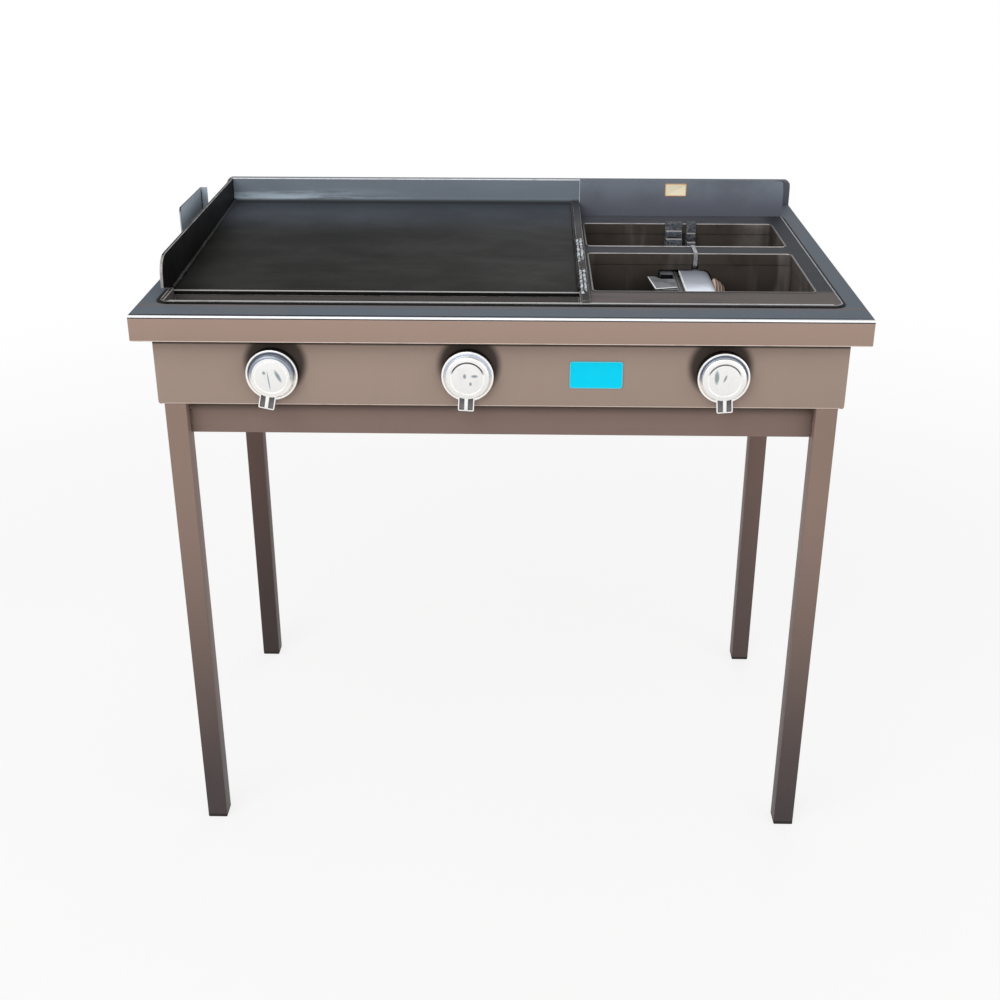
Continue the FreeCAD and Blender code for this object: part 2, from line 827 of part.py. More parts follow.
def make_fire_box():
    """Sheet box under the plate, with burner holes in front and flue slots behind."""
    body = new_body("fire_box")
    side = sketch(body, "YZ_Plane")
    depth = "box_rear - box_front"
    outline(side, [("0", "0"), (depth, "0"), (depth, "box_top_rear - box_bottom"),
                   ("0", "box_top_front - box_bottom")])
    pad(body, side, "plate_width")
    inside = sketch(body, "XY_Plane", "box_sheet")
    rectangle(inside, "box_sheet", "box_sheet", "plate_width - box_sheet",
              "box_rear - box_front - box_sheet")
    pocket(body, inside, "worktop_height", back=True)
    mouths = sketch(body, "XZ_Plane")
    for _, x in GRIDDLE_KNOBS:
        circle(mouths, f"plate_left + {x}", "knob_height - box_bottom", "burner_radius + feed_play")
    pocket(body, mouths, "2 * box_sheet")
    flue = sketch(body, "XZ_Plane", f"-({depth})")
    left = "plate_width / 2 - ((flue_count - 1) * flue_pitch + flue_width) / 2"
    top = "top_under - box_bottom - worktop_sheet"
    rectangle(flue, left, f"{top} - flue_height", f"{left} + flue_width", top)
    slots = pocket(body, flue, "2 * box_sheet", back=True)
    repeat(body, slots, "X_Axis", "flue_pitch", "flue_count")
    at(body, "-plate_left", "front + box_front", "box_bottom")
    keep(body, "fire_box")


def make_guard():
    """Left splash guard: its toe is cut away over the trough, its top corner is rounded."""
    body = new_body("guard_left")
    face = sketch(body, "YZ_Plane")
    outline(face, [("0", "guard_toe_rise"), ("guard_toe_run", "0"),
                   ("splash_front - guard_front", "0"),
                   ("splash_front - guard_front", "splash_rise"),
                   ("guard_lean", "splash_rise - guard_dip")])
    slab = pad(body, face, "guard_thick")
    doc.recompute()
    corner = edges_along(slab.Shape, Vector(1, 0, 0), upper_front(slab.Shape))
    round_edges(body, slab, corner, "guard_corner")
    at(body, "-plate_left - guard_thick", "front + guard_front", "ring_top")
    keep(body, "guard_left")


def make_splashes():
    """Rear splash in two plates that meet at the split; the left one has a hemmed top."""
    left_width = "plate_left + guard_thick + split"
    face = block("-plate_left - guard_thick", "front + splash_front", "ring_top", left_width,
                 "splash_sheet", "splash_rise")
    hem = block("-plate_left - guard_thick", "front + splash_front + splash_sheet",
                "splash_top - splash_sheet", left_width, "splash_hem", "splash_sheet")
    keep(join(face, hem), "splash_left")
    body = new_body("splash_right")
    drawing = sketch(body, "XZ_Plane")
    rectangle(drawing, "0", "0", "deck_right - split", "splash_rise")
    slab = pad(body, drawing, "splash_sheet", back=True)
    doc.recompute()
    middle = slab.Shape.BoundBox.Center
    corner = edges_along(
        slab.Shape, Vector(0, 1, 0),
        lambda edge: edge.CenterOfMass.z > middle.z and edge.CenterOfMass.x > middle.x)
    round_edges(body, slab, corner, "splash_corner")
    at(body, "split", "front + splash_front", "ring_top")
    keep(body, "splash_right")


def make_divider():
    """Bar along the plate's right edge that rises with the plate."""
    body = new_body("divider_bar")
    side = sketch(body, "YZ_Plane")
    length = "splash_front - plate_gap - trough_front"
    rear_rise = ("plate_front_height + divider_rise - ring_top"
                 " + (splash_front - plate_front) * tan(griddle_tilt)")
    outline(side, [("0", "0"), (length, "0"), (length, rear_rise), ("0", "divider_rise")])
    pad(body, side, "split - plate_right")
    at(body, "plate_right", "front + trough_front", "ring_top")
    keep(body, "divider_bar")


def weld_bead(label, edge_x, inward, leg):
    """Weld bead with a triangular section in the corner at one side of the plate."""
    body = new_body(label)
    section = sketch(body, "XZ_Plane")
    outline(section, [("0", "0"), (f"{inward} * {leg}", "0"), ("0", leg)])
    pad(body, section, "plate_length - plate_thick", back=True)
    body.Placement.Rotation = TILT
    bind(body, "Placement.Rotation.Angle", "griddle_tilt")
    return at(body, edge_x, "front + plate_front + plate_thick / 2 * cos(griddle_tilt)",
              "plate_front_height + plate_thick / 2 * sin(griddle_tilt)")


def make_plate_welds():
    """Two beads, one along each side of the plate."""
    left = weld_bead("left_bead", "-plate_left", "1", "bead_left")
    right = weld_bead("right_bead", "plate_right", "-1", "bead_right")
    keep(group(left, right), "plate_welds")


# Well side of the drop-in top

WELL_OPENINGS = (("well_front", "well_bar_front"), ("well_bar_rear", "well_rear"))


def make_well_deck():
    """Sheet with two rounded openings, each with a raised rim and a lip folded down."""
    body = new_body("well_deck")
    drawing = sketch(body, "XY_Plane")
    rectangle(drawing, "0", "0", "deck_right - split", "ring_rear - ring_front")
    pad(body, drawing, "ring_thick")
    lips = sketch(body, "XY_Plane")
    for near, far in WELL_OPENINGS:
        rectangle(lips, "well_left - lip_sheet - split", f"{near} - lip_sheet - ring_front",
                  "well_right + lip_sheet - split", f"{far} + lip_sheet - ring_front")
    pad(body, lips, "lip_drop", back=True)
    rims = sketch(body, "XY_Plane", "ring_thick")
    for near, far in WELL_OPENINGS:
        rectangle(rims, "well_left - rim_width - split", f"{near} - rim_width - ring_front",
                  "well_right + rim_width - split", f"{far} + rim_width - ring_front")
    pad(body, rims, "rim_rise")
    openings = sketch(body, "XY_Plane", "ring_thick + rim_rise")
    for near, far in WELL_OPENINGS:
        rectangle(openings, "well_left - split", f"{near} - ring_front", "well_right - split",
                  f"{far} - ring_front")
    rounded = pocket(body, openings, "ring_thick + rim_rise + lip_drop")
    corner_heights = (
        (SIZES["ring_thick"] + SIZES["rim_rise"] + SIZES["lip_drop"], "well_corner"),
        (SIZES["lip_drop"], "well_corner + lip_sheet"),
        (SIZES["rim_rise"], "well_corner + rim_width"),
    )
    for height, radius in corner_heights:
        doc.recompute()
        corners = edges_along(rounded.Shape, Vector(0, 0, 1),
                              lambda edge: abs(edge.Length - height) < 0.01)
        rounded = round_edges(body, rounded, corners, radius)
    doc.recompute()
    right_end = rounded.Shape.BoundBox.XMax
    outer = edges_along(rounded.Shape, Vector(0, 0, 1),
                        lambda edge: abs(edge.CenterOfMass.x - right_end) < 0.01)
    round_edges(body, rounded, outer, "deck_corner")
    at(body, "split", "front + ring_front", "worktop_height")
    keep(body, "well_deck")


def make_well_tub(label, near, far, holds_burner):
    """Deep tray under one opening.

    The front one has a hole for the feed pipe, and a window that follows the burner's outline,
    with a notch for the strap, for the burner's rear end, its flange and its igniter.
    """
    outer = rounded_plate(f"{label}_outside", "XY_Plane", "tub_right - tub_left",
                          f"{far} - {near} + 2 * lip_sheet + 2 * tub_sheet",
                          "tub_depth + tub_sheet", "well_corner + lip_sheet + tub_sheet")
    at(outer, "tub_left", f"front + {near} - lip_sheet - tub_sheet", "tub_floor - tub_sheet")
    hollow = rounded_plate(f"{label}_inside", "XY_Plane", "tub_right - tub_left - 2 * tub_sheet",
                           f"{far} - {near} + 2 * lip_sheet", "2 * tub_depth",
                           "well_corner + lip_sheet")
    at(hollow, "tub_left + tub_sheet", f"front + {near} - lip_sheet", "tub_floor")
    tools = [hollow]
    if holds_burner:
        tools.append(rod("y", "knob_right_x", "front + tub_front - tub_sheet", "knob_height",
                         "feed_radius + feed_play", "3 * tub_sheet"))
        wall = f"front + {far} + lip_sheet / 2"
        gap = "burner_window_gap"
        shoulder_x = "burner_right - burner_shoulder"
        shoulder_z = "burner_top - burner_shoulder"
        tools.append(block(
            f"flange_left - igniter_reach - {gap}", wall, f"burner_bottom - {gap}",
            f"{shoulder_x} - flange_left + igniter_reach + {gap}", "2 * tub_sheet",
            f"burner_top - burner_bottom + 2 * {gap}"))
        tools.append(block(
            shoulder_x, wall, f"burner_bottom - {gap}", f"burner_shoulder + {gap}",
            "2 * tub_sheet", f"{shoulder_z} - burner_bottom + {gap}"))
        tools.append(rod("y", shoulder_x, wall, shoulder_z, f"burner_shoulder + {gap}",
                         "2 * tub_sheet"))
        tools.append(block(
            f"strap_left - {gap}", wall, "burner_top", f"strap_width + 2 * {gap}",
            "2 * tub_sheet", "lip_bottom - burner_top"))
    keep(cut(outer, *tools), label)


# Burner hung in the well

def make_well_burner():
    """Silver burner body that runs front to back, with a rounded crown and shoulder."""
    body = new_body("well_burner_body")
    side = sketch(body, "YZ_Plane")
    rectangle(side, "0", "0", "burner_far - burner_near", "burner_top - burner_bottom")
    slab = pad(body, side, "burner_right - burner_left")
    doc.recompute()
    crown = edges_along(slab.Shape, Vector(1, 0, 0), upper_front(slab.Shape))
    crowned = round_edges(body, slab, crown, "burner_crown")
    doc.recompute()
    middle = crowned.Shape.BoundBox.Center
    shoulder = edges_along(
        crowned.Shape, Vector(0, 1, 0),
        lambda edge: edge.CenterOfMass.z > middle.z and edge.CenterOfMass.x > middle.x)
    round_edges(body, crowned, shoulder, "burner_shoulder")
    at(body, "burner_left", "front + burner_near", "burner_bottom")
    keep(body, "well_burner_body")
    rings = []
    for ring, (wide, narrow) in enumerate(((1, 0.9), (0.86, 0.72), (0.66, 0.3))):
        start = f"burner_right + {ring} * nose_length / 3"
        rings.append(cone("x", start, "front + nose_place", "nose_height",
                          f"nose_radius * {wide}", f"nose_radius * {narrow}", "nose_length / 3"))
    keep(join(*rings), "well_burner_nose")


def make_burner_bracket():
    """Dark flange on the burner's left side with a bent plate, an igniter block and a pin."""
    flange = new_body("burner_flange_plate")
    side = sketch(flange, "YZ_Plane")
    rectangle(side, "0", "0", "burner_far - burner_near + 2 * flange_overlap",
              "burner_top - burner_bottom - flange_drop")
    slab = pad(flange, side, "flange_thick")
    doc.recompute()
    round_edges(flange, slab, edges_along(slab.Shape, Vector(1, 0, 0)), "flange_corner")
    at(flange, "flange_left", "front + burner_near - flange_overlap", "burner_bottom")
    plate = new_body("igniter_plate")
    shape = sketch(plate, "XY_Plane")
    width = "igniter_plate_reach"
    length = "igniter_plate_length"
    outline(shape, [(f"0.2 * {width}", "0"), (width, "0"), (width, f"0.8 * {length}"),
                    (f"0.5 * {width}", f"0.8 * {length}"), (f"0.25 * {width}", length),
                    ("0", f"0.97 * {length}")])
    pad(plate, shape, "igniter_plate_thick", back=True)
    at(plate, "igniter_plate_left", "front + igniter_plate_near", "flange_top")
    head = block("flange_left - igniter_reach", "front + burner_far - igniter_length - igniter_gap",
                 "flange_top - igniter_height", "igniter_reach", "igniter_length", "igniter_height")
    pin = rod("x", "igniter_plate_left + pin_radius", "front + pin_place",
              "flange_top - pin_radius", "pin_radius", "igniter_plate_reach - pin_radius")
    tip = doc.addObject("Part::Sphere", "Tip")
    bind(tip, "Radius", "pin_radius * 1.3")
    at(tip, "igniter_plate_left + pin_radius", "front + pin_place", "flange_top - pin_radius")
    keep(join(flange, plate, head, pin, tip), "well_burner_bracket")


def make_feed_pipe():
    """Pipe from the right valve through the tub's wall, bent up into the burner."""
    def run(radius):
        """Level run, quarter bend and upright run, as a rod of one radius."""
        level = rod("y", "knob_right_x", "valve_rear", "knob_height", radius,
                    "front + feed_place - feed_bend - valve_rear")
        bend = doc.addObject("Part::Torus", "Bend")
        bend.Placement.Rotation = TURNS["x"]
        bind(bend, "Radius1", "feed_bend")
        bind(bend, "Radius2", radius)
        bend.Angle3 = 90
        at(bend, "knob_right_x", "front + feed_place - feed_bend", "knob_height + feed_bend")
        upright = rod("z", "knob_right_x", "front + feed_place", "knob_height + feed_bend", radius,
                      "burner_bottom - knob_height - feed_bend")
        return join(level, bend, upright)

    keep(cut(run("feed_radius"), run("feed_radius - feed_wall")), "well_feed_pipe")


def make_burner_strap():
    """Narrow strap on the bar, bent down over its front edge and back to the burner's end."""
    body = new_body("burner_strap")
    side = sketch(body, "YZ_Plane")
    outline(side, [
        ("well_bar_front - strap_thick", "rim_top + strap_thick"),
        ("well_bar_front - strap_thick", "lip_bottom - strap_thick"),
        ("burner_far - strap_lap", "burner_top"),
        ("burner_far", "burner_top"),
        ("burner_far", "burner_top + strap_thick"),
        ("well_bar_front", "lip_bottom"),
        ("well_bar_front", "rim_top"),
        ("well_bar_front + strap_grip", "rim_top"),
        ("well_bar_front + strap_grip", "rim_top + strap_thick"),
    ])
    pad(body, side, "strap_width")
    at(body, "strap_left", "front", "0")
    keep(body, "burner_strap")


def make_rear_hooks():
    """Two tongues hooked over the rear opening's far rim and down to the tub's floor."""
    hooks = []
    start = "well_left + hook_inset"
    for left, width in ((start, "hook_wide"), (f"{start} + hook_wide + hook_slit", "hook_narrow")):
        back = "front + well_rear - hook_sheet"
        drop = block(left, back, "tub_floor", width, "hook_sheet", "rim_top - tub_floor")
        lap = block(left, back, "rim_top", width, "hook_sheet + hook_lap", "hook_sheet")
        sole = block(left, f"{back} - hook_lap", "tub_floor", width, "hook_lap", "hook_sheet")
        hooks.append(join(drop, lap, sole))
    keep(group(*hooks), "rear_hooks")


# Gas train behind the panel

def make_manifold():
    """Gas pipe across the station with a hole for each valve and for the supply."""
    def bar(radius):
        return rod("x", "manifold_left", "front + manifold_place", "manifold_height", radius,
                   "manifold_right - manifold_left")
    holes = [rod("z", x, "front + manifold_place", "manifold_height", "valve_stem + screw_play",
                 "2 * manifold_radius") for _, x in KNOBS]
    supply = rod("y", "supply_x", "front + manifold_place", "manifold_height",
                 "supply_radius + screw_play", "2 * manifold_radius")
    keep(cut(bar("manifold_radius"), bar("manifold_radius - manifold_wall"), supply, *holes),
         "gas_manifold")
    plugs = []
    for x, cap_x in (("manifold_left", "manifold_left - manifold_wall"),
                     ("manifold_right - plug_length", "manifold_right")):
        stopper = rod("x", x, "front + manifold_place", "manifold_height",
                      "manifold_radius - manifold_wall - screw_play", "plug_length")
        cap = rod("x", cap_x, "front + manifold_place", "manifold_height", "manifold_radius + 1",
                  "manifold_wall")
        plugs.append(join(stopper, cap))
    keep(group(*plugs), "manifold_plugs")
    saddles = []
    for side in ("-1", "1"):
        rest = block(f"{side} * saddle_spread - saddle_width / 2", "rail_front + rail_wall",
                     "rail_top", "saddle_width", "rail_depth - rail_wall",
                     "manifold_height - rail_top")
        saddles.append(cut(rest, rod("x", f"{side} * saddle_spread - saddle_width",
                                     "front + manifold_place", "manifold_height",
                                     "manifold_radius", "2 * saddle_width")))
    keep(group(*saddles), "manifold_saddles")


def make_supply():
    """Supply pipe to the back, and the hose fitting on its end behind the rear panel."""
    start = "front + manifold_place + manifold_radius - 2 * manifold_wall"
    end = "leg_rear + panel_sheet + supply_reach"
    length = f"{end} - ({start})"
    keep(cut(rod("y", "supply_x", start, "manifold_height", "supply_radius", length),
             rod("y", "supply_x", start, "manifold_height", "supply_radius - supply_wall", length)),
         "supply_pipe")
    body = new_body("inlet_fitting")
    hexagon = sketch(body, "XZ_Plane")
    corners = []
    for turn in range(6):
        angle = math.radians(60 * turn)
        corners.append((f"inlet_nut_radius * {1 + math.cos(angle):.5f}",
                        f"inlet_nut_radius * {1 + math.sin(angle):.5f}"))
    outline(hexagon, corners)
    pad(body, hexagon, "inlet_nut_length", back=True)
    barb = sketch(body, "XZ_Plane")
    circle(barb, "inlet_nut_radius", "inlet_nut_radius", "barb_radius")
    pad(body, barb, "inlet_nut_length + barb_length", back=True)
    bore = sketch(body, "XZ_Plane")
    circle(bore, "inlet_nut_radius", "inlet_nut_radius", "barb_bore")
    pocket(body, bore, "inlet_nut_length + barb_length")
    at(body, "supply_x - inlet_nut_radius", end, "manifold_height - inlet_nut_radius")
    keep(body, "inlet_fitting")


def make_valve(ending, x):
    """Turned valve body behind the panel, with a stem down into the manifold."""
    body = new_body(f"valve_body_{ending}")
    half = sketch(body, "XY_Plane")
    bore = "spindle_radius + spindle_play"
    neck_start = "valve_bonnet_length"
    neck_end = f"{neck_start} + valve_neck_length"
    body_end = f"{neck_end} + valve_body_length"
    outline(half, [
        (bore, "0"), ("valve_bonnet", "0"), ("valve_bonnet", neck_start),
        ("valve_neck", neck_start), ("valve_neck", neck_end), ("valve_radius", neck_end),
        ("valve_radius", body_end), ("valve_boss", body_end), ("valve_boss", "valve_length"),
        ("barb_bore / 2", "valve_length"), ("barb_bore / 2", "valve_bore"), (bore, "valve_bore"),
    ])
    revolve(body, half, "V_Axis")
    stem = sketch(body, "XY_Plane", "-manifold_drop + valve_stem")
    circle(stem, "0", "manifold_place - leg_front_inset", "valve_stem")
    pad(body, stem, "manifold_drop - valve_stem - barb_bore")
    at(body, x, "leg_front", "knob_height")
    keep(body, f"valve_body_{ending}")


def make_jets():
    """Brass gas jets on the rear of the three valves."""
    jets = []
    for _, x in KNOBS:
        body = rod("y", x, "valve_rear", "knob_height", "jet_radius", "jet_length / 2")
        tip = cone("y", x, "valve_rear + jet_length / 2", "knob_height", "jet_radius * 0.8",
                   "jet_tip", "jet_length / 2")
        jets.append(join(body, tip))
    keep(group(*jets), "valve_jets")


def make_spindle(ending, x):
    """Valve spindle: it slides in the valve and the knob turns on it."""
    keep(rod("y", x, "panel_front - spindle_front", "knob_height", "spindle_radius",
             "spindle_front + panel_sheet + spindle_back"), f"valve_spindle_{ending}")


def make_bezels():
    """Dark discs on the panel behind the knobs."""
    bezels = []
    for _, x in KNOBS:
        disc = cone("y", x, "bezel_front", "knob_height", "bezel_radius - 1", "bezel_radius",
                    "bezel_thick")
        hole = rod("y", x, "bezel_front - 1", "knob_height", "panel_hole", "bezel_thick + 2")
        bezels.append(cut(disc, hole))
    keep(group(*bezels), "knob_bezels")


def make_knob(ending, x):
    """Round knob: a disc with a raised rim, a domed hub in its middle and a ribbed lever.

    It is drawn round the spindle's axis with its back at zero and its face toward -Y.
    """
    disc = new_body(f"knob_disc_{ending}")
    half = sketch(disc, "XY_Plane")
    rim_in = "knob_radius - knob_rim"
    hub_front = "-knob_thick - knob_hub_length"
    outline(half, [
        ("0", "0"), ("knob_radius - 1", "0"), ("knob_radius", "-1"),
        ("knob_radius", "1 - knob_thick"), ("knob_radius - 1", "-knob_thick"),
        (rim_in, "-knob_thick"), (f"{rim_in} - 1", "knob_rim_depth - knob_thick"),
        ("knob_hub", "knob_rim_depth - knob_thick"), ("knob_hub - knob_hub_taper", hub_front),
        ("0", hub_front),
    ])
    revolve(disc, half, "V_Axis")
    dome = doc.addObject("Part::Ellipsoid", "Dome")
    dome.Angle1 = -90
    dome.Angle2 = 90
    dome.Placement.Rotation = TURNS["y"]
    bind(dome, "Radius1", "knob_dome_rise")
    bind(dome, "Radius2", "knob_hub - knob_hub_taper")
    bind(dome, "Radius3", "knob_hub - knob_hub_taper")
    at(dome, y=hub_front)
    lever = block("-lever_width / 2", "-knob_thick - lever_thick / 2",
                  "-knob_radius - lever_reach", "lever_width", "lever_thick",
                  "lever_reach + knob_rim + 4")
    rib = block("-rib_width / 2", hub_front, "-knob_radius - lever_reach", "rib_width",
                "rib_thick", "lever_reach + knob_radius")
    bore = rod("y", "0", "-knob_bore_depth", "0", "spindle_radius + knob_play",
               "2 * knob_bore_depth")
    knob = cut(join(disc, dome, lever, rib), bore)
    sense = -1 if ending == "right" else 1
    knob.Placement.Rotation = Rotation(Vector(0, sense, 0), 1)
    bind(knob, "Placement.Rotation.Angle", f"knob_{ending}_turn")
    at(knob, x, "knob_back", "knob_height")
    keep(knob, f"knob_{ending}")


def make_burner(ending, x):
    """Tube burner under the plate, with air windows in front and two rows of ports."""
    tube = new_body(f"griddle_burner_{ending}")
    section = sketch(tube, "XZ_Plane")
    circle(section, "burner_radius", "burner_radius", "burner_radius")
    circle(section, "burner_radius", "burner_radius", "burner_radius - burner_wall")
    length = "burner_rear - burner_front"
    pad(tube, section, length, back=True)
    end = sketch(tube, "XZ_Plane", f"-({length})")
    circle(end, "burner_radius", "burner_radius", "burner_radius")
    pad(tube, end, "burner_wall")
    window = sketch(tube, "YZ_Plane")
    rectangle(window, "window_front", "burner_radius - window_width / 2",
              "window_front + window_length", "burner_radius + window_width / 2")
    pocket(tube, window, "2 * burner_radius", back=True)
    ports = sketch(tube, "YZ_Plane")
    circle(ports, "port_start", "1.45 * burner_radius", "port_radius")
    row = pocket(tube, ports, "2 * burner_radius", back=True)
    repeat(tube, row, "Y_Axis", "port_pitch", "port_count")
    at(tube, f"{x} - burner_radius", "front + burner_front", "knob_height - burner_radius")
    keep(tube, f"griddle_burner_{ending}")


def make_shutter(ending, x):
    """Sleeve that turns on the burner's mouth and covers its air windows."""
    inner = "burner_radius + shutter_play"
    sleeve = cut(
        rod("y", x, "front + shutter_front", "knob_height", f"{inner} + shutter_wall",
            "shutter_length"),
        rod("y", x, "front + shutter_front - 1", "knob_height", inner, "shutter_length + 2"),
        block(f"{x} - 2 * burner_radius", "front + burner_front + window_front",
              "knob_height - window_width / 2", "4 * burner_radius", "window_length",
              "window_width"))
    keep(sleeve, f"air_shutter_{ending}")


def make_burner_rack():
    """Bar across the fire box that the burners' rear ends lie in."""
    bar = block("-plate_left + box_sheet", "front + rack_front", "box_bottom + box_sheet",
                "plate_width - 2 * box_sheet", "rack_depth",
                "knob_height - box_bottom - box_sheet - burner_radius / 2")
    nests = [rod("y", x, "front + rack_front - 1", "knob_height", "burner_radius",
                 "rack_depth + 2") for _, x in GRIDDLE_KNOBS]
    keep(cut(bar, *nests), "burner_rack")


# Badge and label, both bare

def make_badge_and_label():
    badge = rounded_plate("blank_badge", "XZ_Plane", "badge_width", "badge_height", "badge_thick",
                          "badge_corner")
    at(badge, "split - badge_inset", "panel_front", "panel_bottom + badge_rise")
    keep(badge, "blank_badge")
    label = rounded_plate("label_plate", "XZ_Plane", "label_width", "label_height", "label_thick",
                          "label_corner")
    at(label, "split + label_inset", "front + splash_front", "ring_top + label_rise")
    keep(label, "label_plate")


def check(parts):
    """Stop if a feature failed or a sub-part's shape isn't sound."""
    failed = [item.Name for item in doc.Objects if {"Invalid", "Error"} & set(item.State)]
    if failed:
        raise RuntimeError("features failed: " + ", ".join(failed))
    for part in parts:
        shape = part.Shape
        if shape.isNull() or not shape.isValid() or not shape.Solids or shape.Volume <= 0:
            raise RuntimeError("shape is not sound: " + part.Label)


make_frame()
make_worktop()
make_side_bracket()
make_control_panel()
make_side_panels()
make_rear_panel()
make_panel_screws()
make_griddle_ring()
make_griddle_plate()
make_grease_trough()
make_fire_box()
make_guard()
make_splashes()
make_divider()
make_plate_welds()
make_well_deck()
make_well_tub("well_tub_front", "well_front", "well_bar_front", True)
make_well_tub("well_tub_rear", "well_bar_rear", "well_rear", False)
make_well_burner()
make_burner_bracket()
make_feed_pipe()
make_burner_strap()
make_rear_hooks()
make_manifold()
make_supply()
for knob_ending, knob_x in KNOBS:
    make_valve(knob_ending, knob_x)
    make_spindle(knob_ending, knob_x)
    make_knob(knob_ending, knob_x)
make_jets()
make_bezels()
for knob_ending, knob_x in GRIDDLE_KNOBS:
    make_burner(knob_ending, knob_x)
    make_shutter(knob_ending, knob_x)
make_burner_rack()
make_badge_and_label()

doc.recompute()
check(PARTS)
os.makedirs("parts", exist_ok=True)
for part in PARTS:
    part.Shape.exportStep(f"parts/{part.Label}.step")
    size = part.Shape.BoundBox
    print(f"{part.Label}: {len(part.Shape.Solids)} solid(s), "
          f"{size.XLength:.1f} x {size.YLength:.1f} x {size.ZLength:.1f}, "
          f"volume {part.Shape.Volume:.0f}")
print("sub-parts:", len(PARTS))
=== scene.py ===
"""Outdoor gas griddle station: finishes, pieces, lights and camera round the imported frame."""
import logging
import math
import random
from contextlib import contextmanager
from dataclasses import dataclass, field
from enum import Enum
from typing import Any, Callable, Iterator, Sequence

import bpy
from mathutils import Matrix, Vector


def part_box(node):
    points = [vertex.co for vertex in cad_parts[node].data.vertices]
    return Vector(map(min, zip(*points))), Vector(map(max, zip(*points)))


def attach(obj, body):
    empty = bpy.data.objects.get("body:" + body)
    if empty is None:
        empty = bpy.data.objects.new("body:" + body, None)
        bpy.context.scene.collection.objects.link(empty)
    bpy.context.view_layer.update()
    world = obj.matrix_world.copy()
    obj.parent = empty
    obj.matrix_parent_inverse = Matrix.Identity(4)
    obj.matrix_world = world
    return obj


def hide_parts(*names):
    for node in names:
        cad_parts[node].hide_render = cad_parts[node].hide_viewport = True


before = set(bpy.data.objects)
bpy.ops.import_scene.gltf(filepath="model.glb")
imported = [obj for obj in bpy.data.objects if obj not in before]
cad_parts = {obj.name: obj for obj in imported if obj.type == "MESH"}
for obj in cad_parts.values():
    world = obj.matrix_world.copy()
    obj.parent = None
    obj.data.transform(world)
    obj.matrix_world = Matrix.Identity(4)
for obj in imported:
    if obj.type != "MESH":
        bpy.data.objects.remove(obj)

LOG = logging.getLogger("griddle_station")
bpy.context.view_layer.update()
ROOT = "frame"
Colour = tuple[float, float, float]
Place = tuple[float, float, float]
WHITE: Colour = (1.0, 1.0, 1.0)
INK: Colour = (0.002, 0.002, 0.002)
MERGE = 1e-5  # points closer than this are one point
NEAR = 1e-4  # slack when a place is compared with a level
CRISP = 0.0004  # width of a clean border between two colours
SHARP = 28.0  # degrees between two faces that make an edge count as sharp
FLAT = 0.4  # degrees up to which neighbouring faces are merged
FACING = 0.9  # least share of a normal that makes a face look one way
LEANING = 0.7  # the same, for faces that look that way more than any other
HALFWAY = 0.5  # the same, for faces up to 60 degrees off
SIDEWAYS = 0.3  # the same, for any face that is turned that way at all
LUMPY = 60  # degrees up to which the faces of a weld are shaded as one
Test = Callable[[Vector, Vector], bool]


def tone(red: float, green: float, blue: float) -> Colour:
    """Turn a colour seen on a screen, 0 to 255, into the light it stands for.

    Args:
        red: Red part.
        green: Green part.
        blue: Blue part.

    Returns:
        The linear colour.
    """
    def straight(level: float) -> float:
        """Linear light of one screen level."""
        share = level / 255
        return share / 12.92 if share <= 0.04045 else ((share + 0.055) / 1.055) ** 2.4
    return straight(red), straight(green), straight(blue)


def scaled(colour: Colour, share: float, plus: float = 0.0) -> Colour:
    """Make a colour darker or lighter.

    Args:
        colour: Colour to start from.
        share: Factor for each channel.
        plus: Light added to each channel.

    Returns:
        The new colour, with no channel over 1.
    """
    return tuple(min(1.0, level * share + plus) for level in colour)


class Axis(Enum):
    """Direction that a turned piece or a pattern runs along."""

    X = 0
    Y = 1
    Z = 2


class Value:
    """A number or colour in a node tree, which Python arithmetic can be written with."""

    def __init__(self, board: "Board", link: bpy.types.NodeSocket) -> None:
        """Keep a node's output.

        Args:
            board: Node tree that the node belongs to.
            link: Output that holds the value.
        """
        self.board = board
        self.link = link

    def _math(self, operation: str, *terms: Any) -> "Value":
        """Add a Math node that works on terms.

        Args:
            operation: Name of the Math node's operation.
            terms: Values or numbers, in the node's order.

        Returns:
            The result.
        """
        made = self.board.node("ShaderNodeMath", {"operation": operation}, dict(enumerate(terms)))
        return Value(self.board, made.outputs[0])

    def __add__(self, other: Any) -> "Value":
        """Sum."""
        return self._math("ADD", self, other)

    __radd__ = __add__

    def __sub__(self, other: Any) -> "Value":
        """Difference."""
        return self._math("SUBTRACT", self, other)

    def __rsub__(self, other: Any) -> "Value":
        """Difference taken from a number."""
        return self._math("SUBTRACT", other, self)

    def __mul__(self, other: Any) -> "Value":
        """Product."""
        return self._math("MULTIPLY", self, other)

    __rmul__ = __mul__

    def __truediv__(self, other: Any) -> "Value":
        """Quotient."""
        return self._math("DIVIDE", self, other)

    def __pow__(self, other: Any) -> "Value":
        """Power."""
        return self._math("POWER", self, other)

    def most(self, other: Any) -> "Value":
        """Higher of two values."""
        return self._math("MAXIMUM", self, other)

    def sine(self) -> "Value":
        """Sine."""
        return self._math("SINE", self)

    def band(self, low: float, high: float, soft: float) -> "Value":
        """1 between two values and 0 outside them, over soft edges.

        Args:
            low: Lower end.
            high: Upper end.
            soft: Half the width of each edge.

        Returns:
            The share, from 0 to 1.
        """
        return self.rise(low - soft, low + soft) * self.rise(high + soft, high - soft)

    def rise(self, low: float, high: float) -> "Value":
        """Go smoothly from 0 at one value to 1 at another.

        Args:
            low: Value that gives 0.
            high: Value that gives 1; it may be the lower one.

        Returns:
            The share, from 0 to 1.
        """
        ends = (low, high, 0.0, 1.0) if low < high else (high, low, 1.0, 0.0)
        made = self.board.node("ShaderNodeMapRange", {"interpolation_type": "SMOOTHSTEP"},
                               dict(enumerate((self, *ends))))
        return Value(self.board, made.outputs[0])


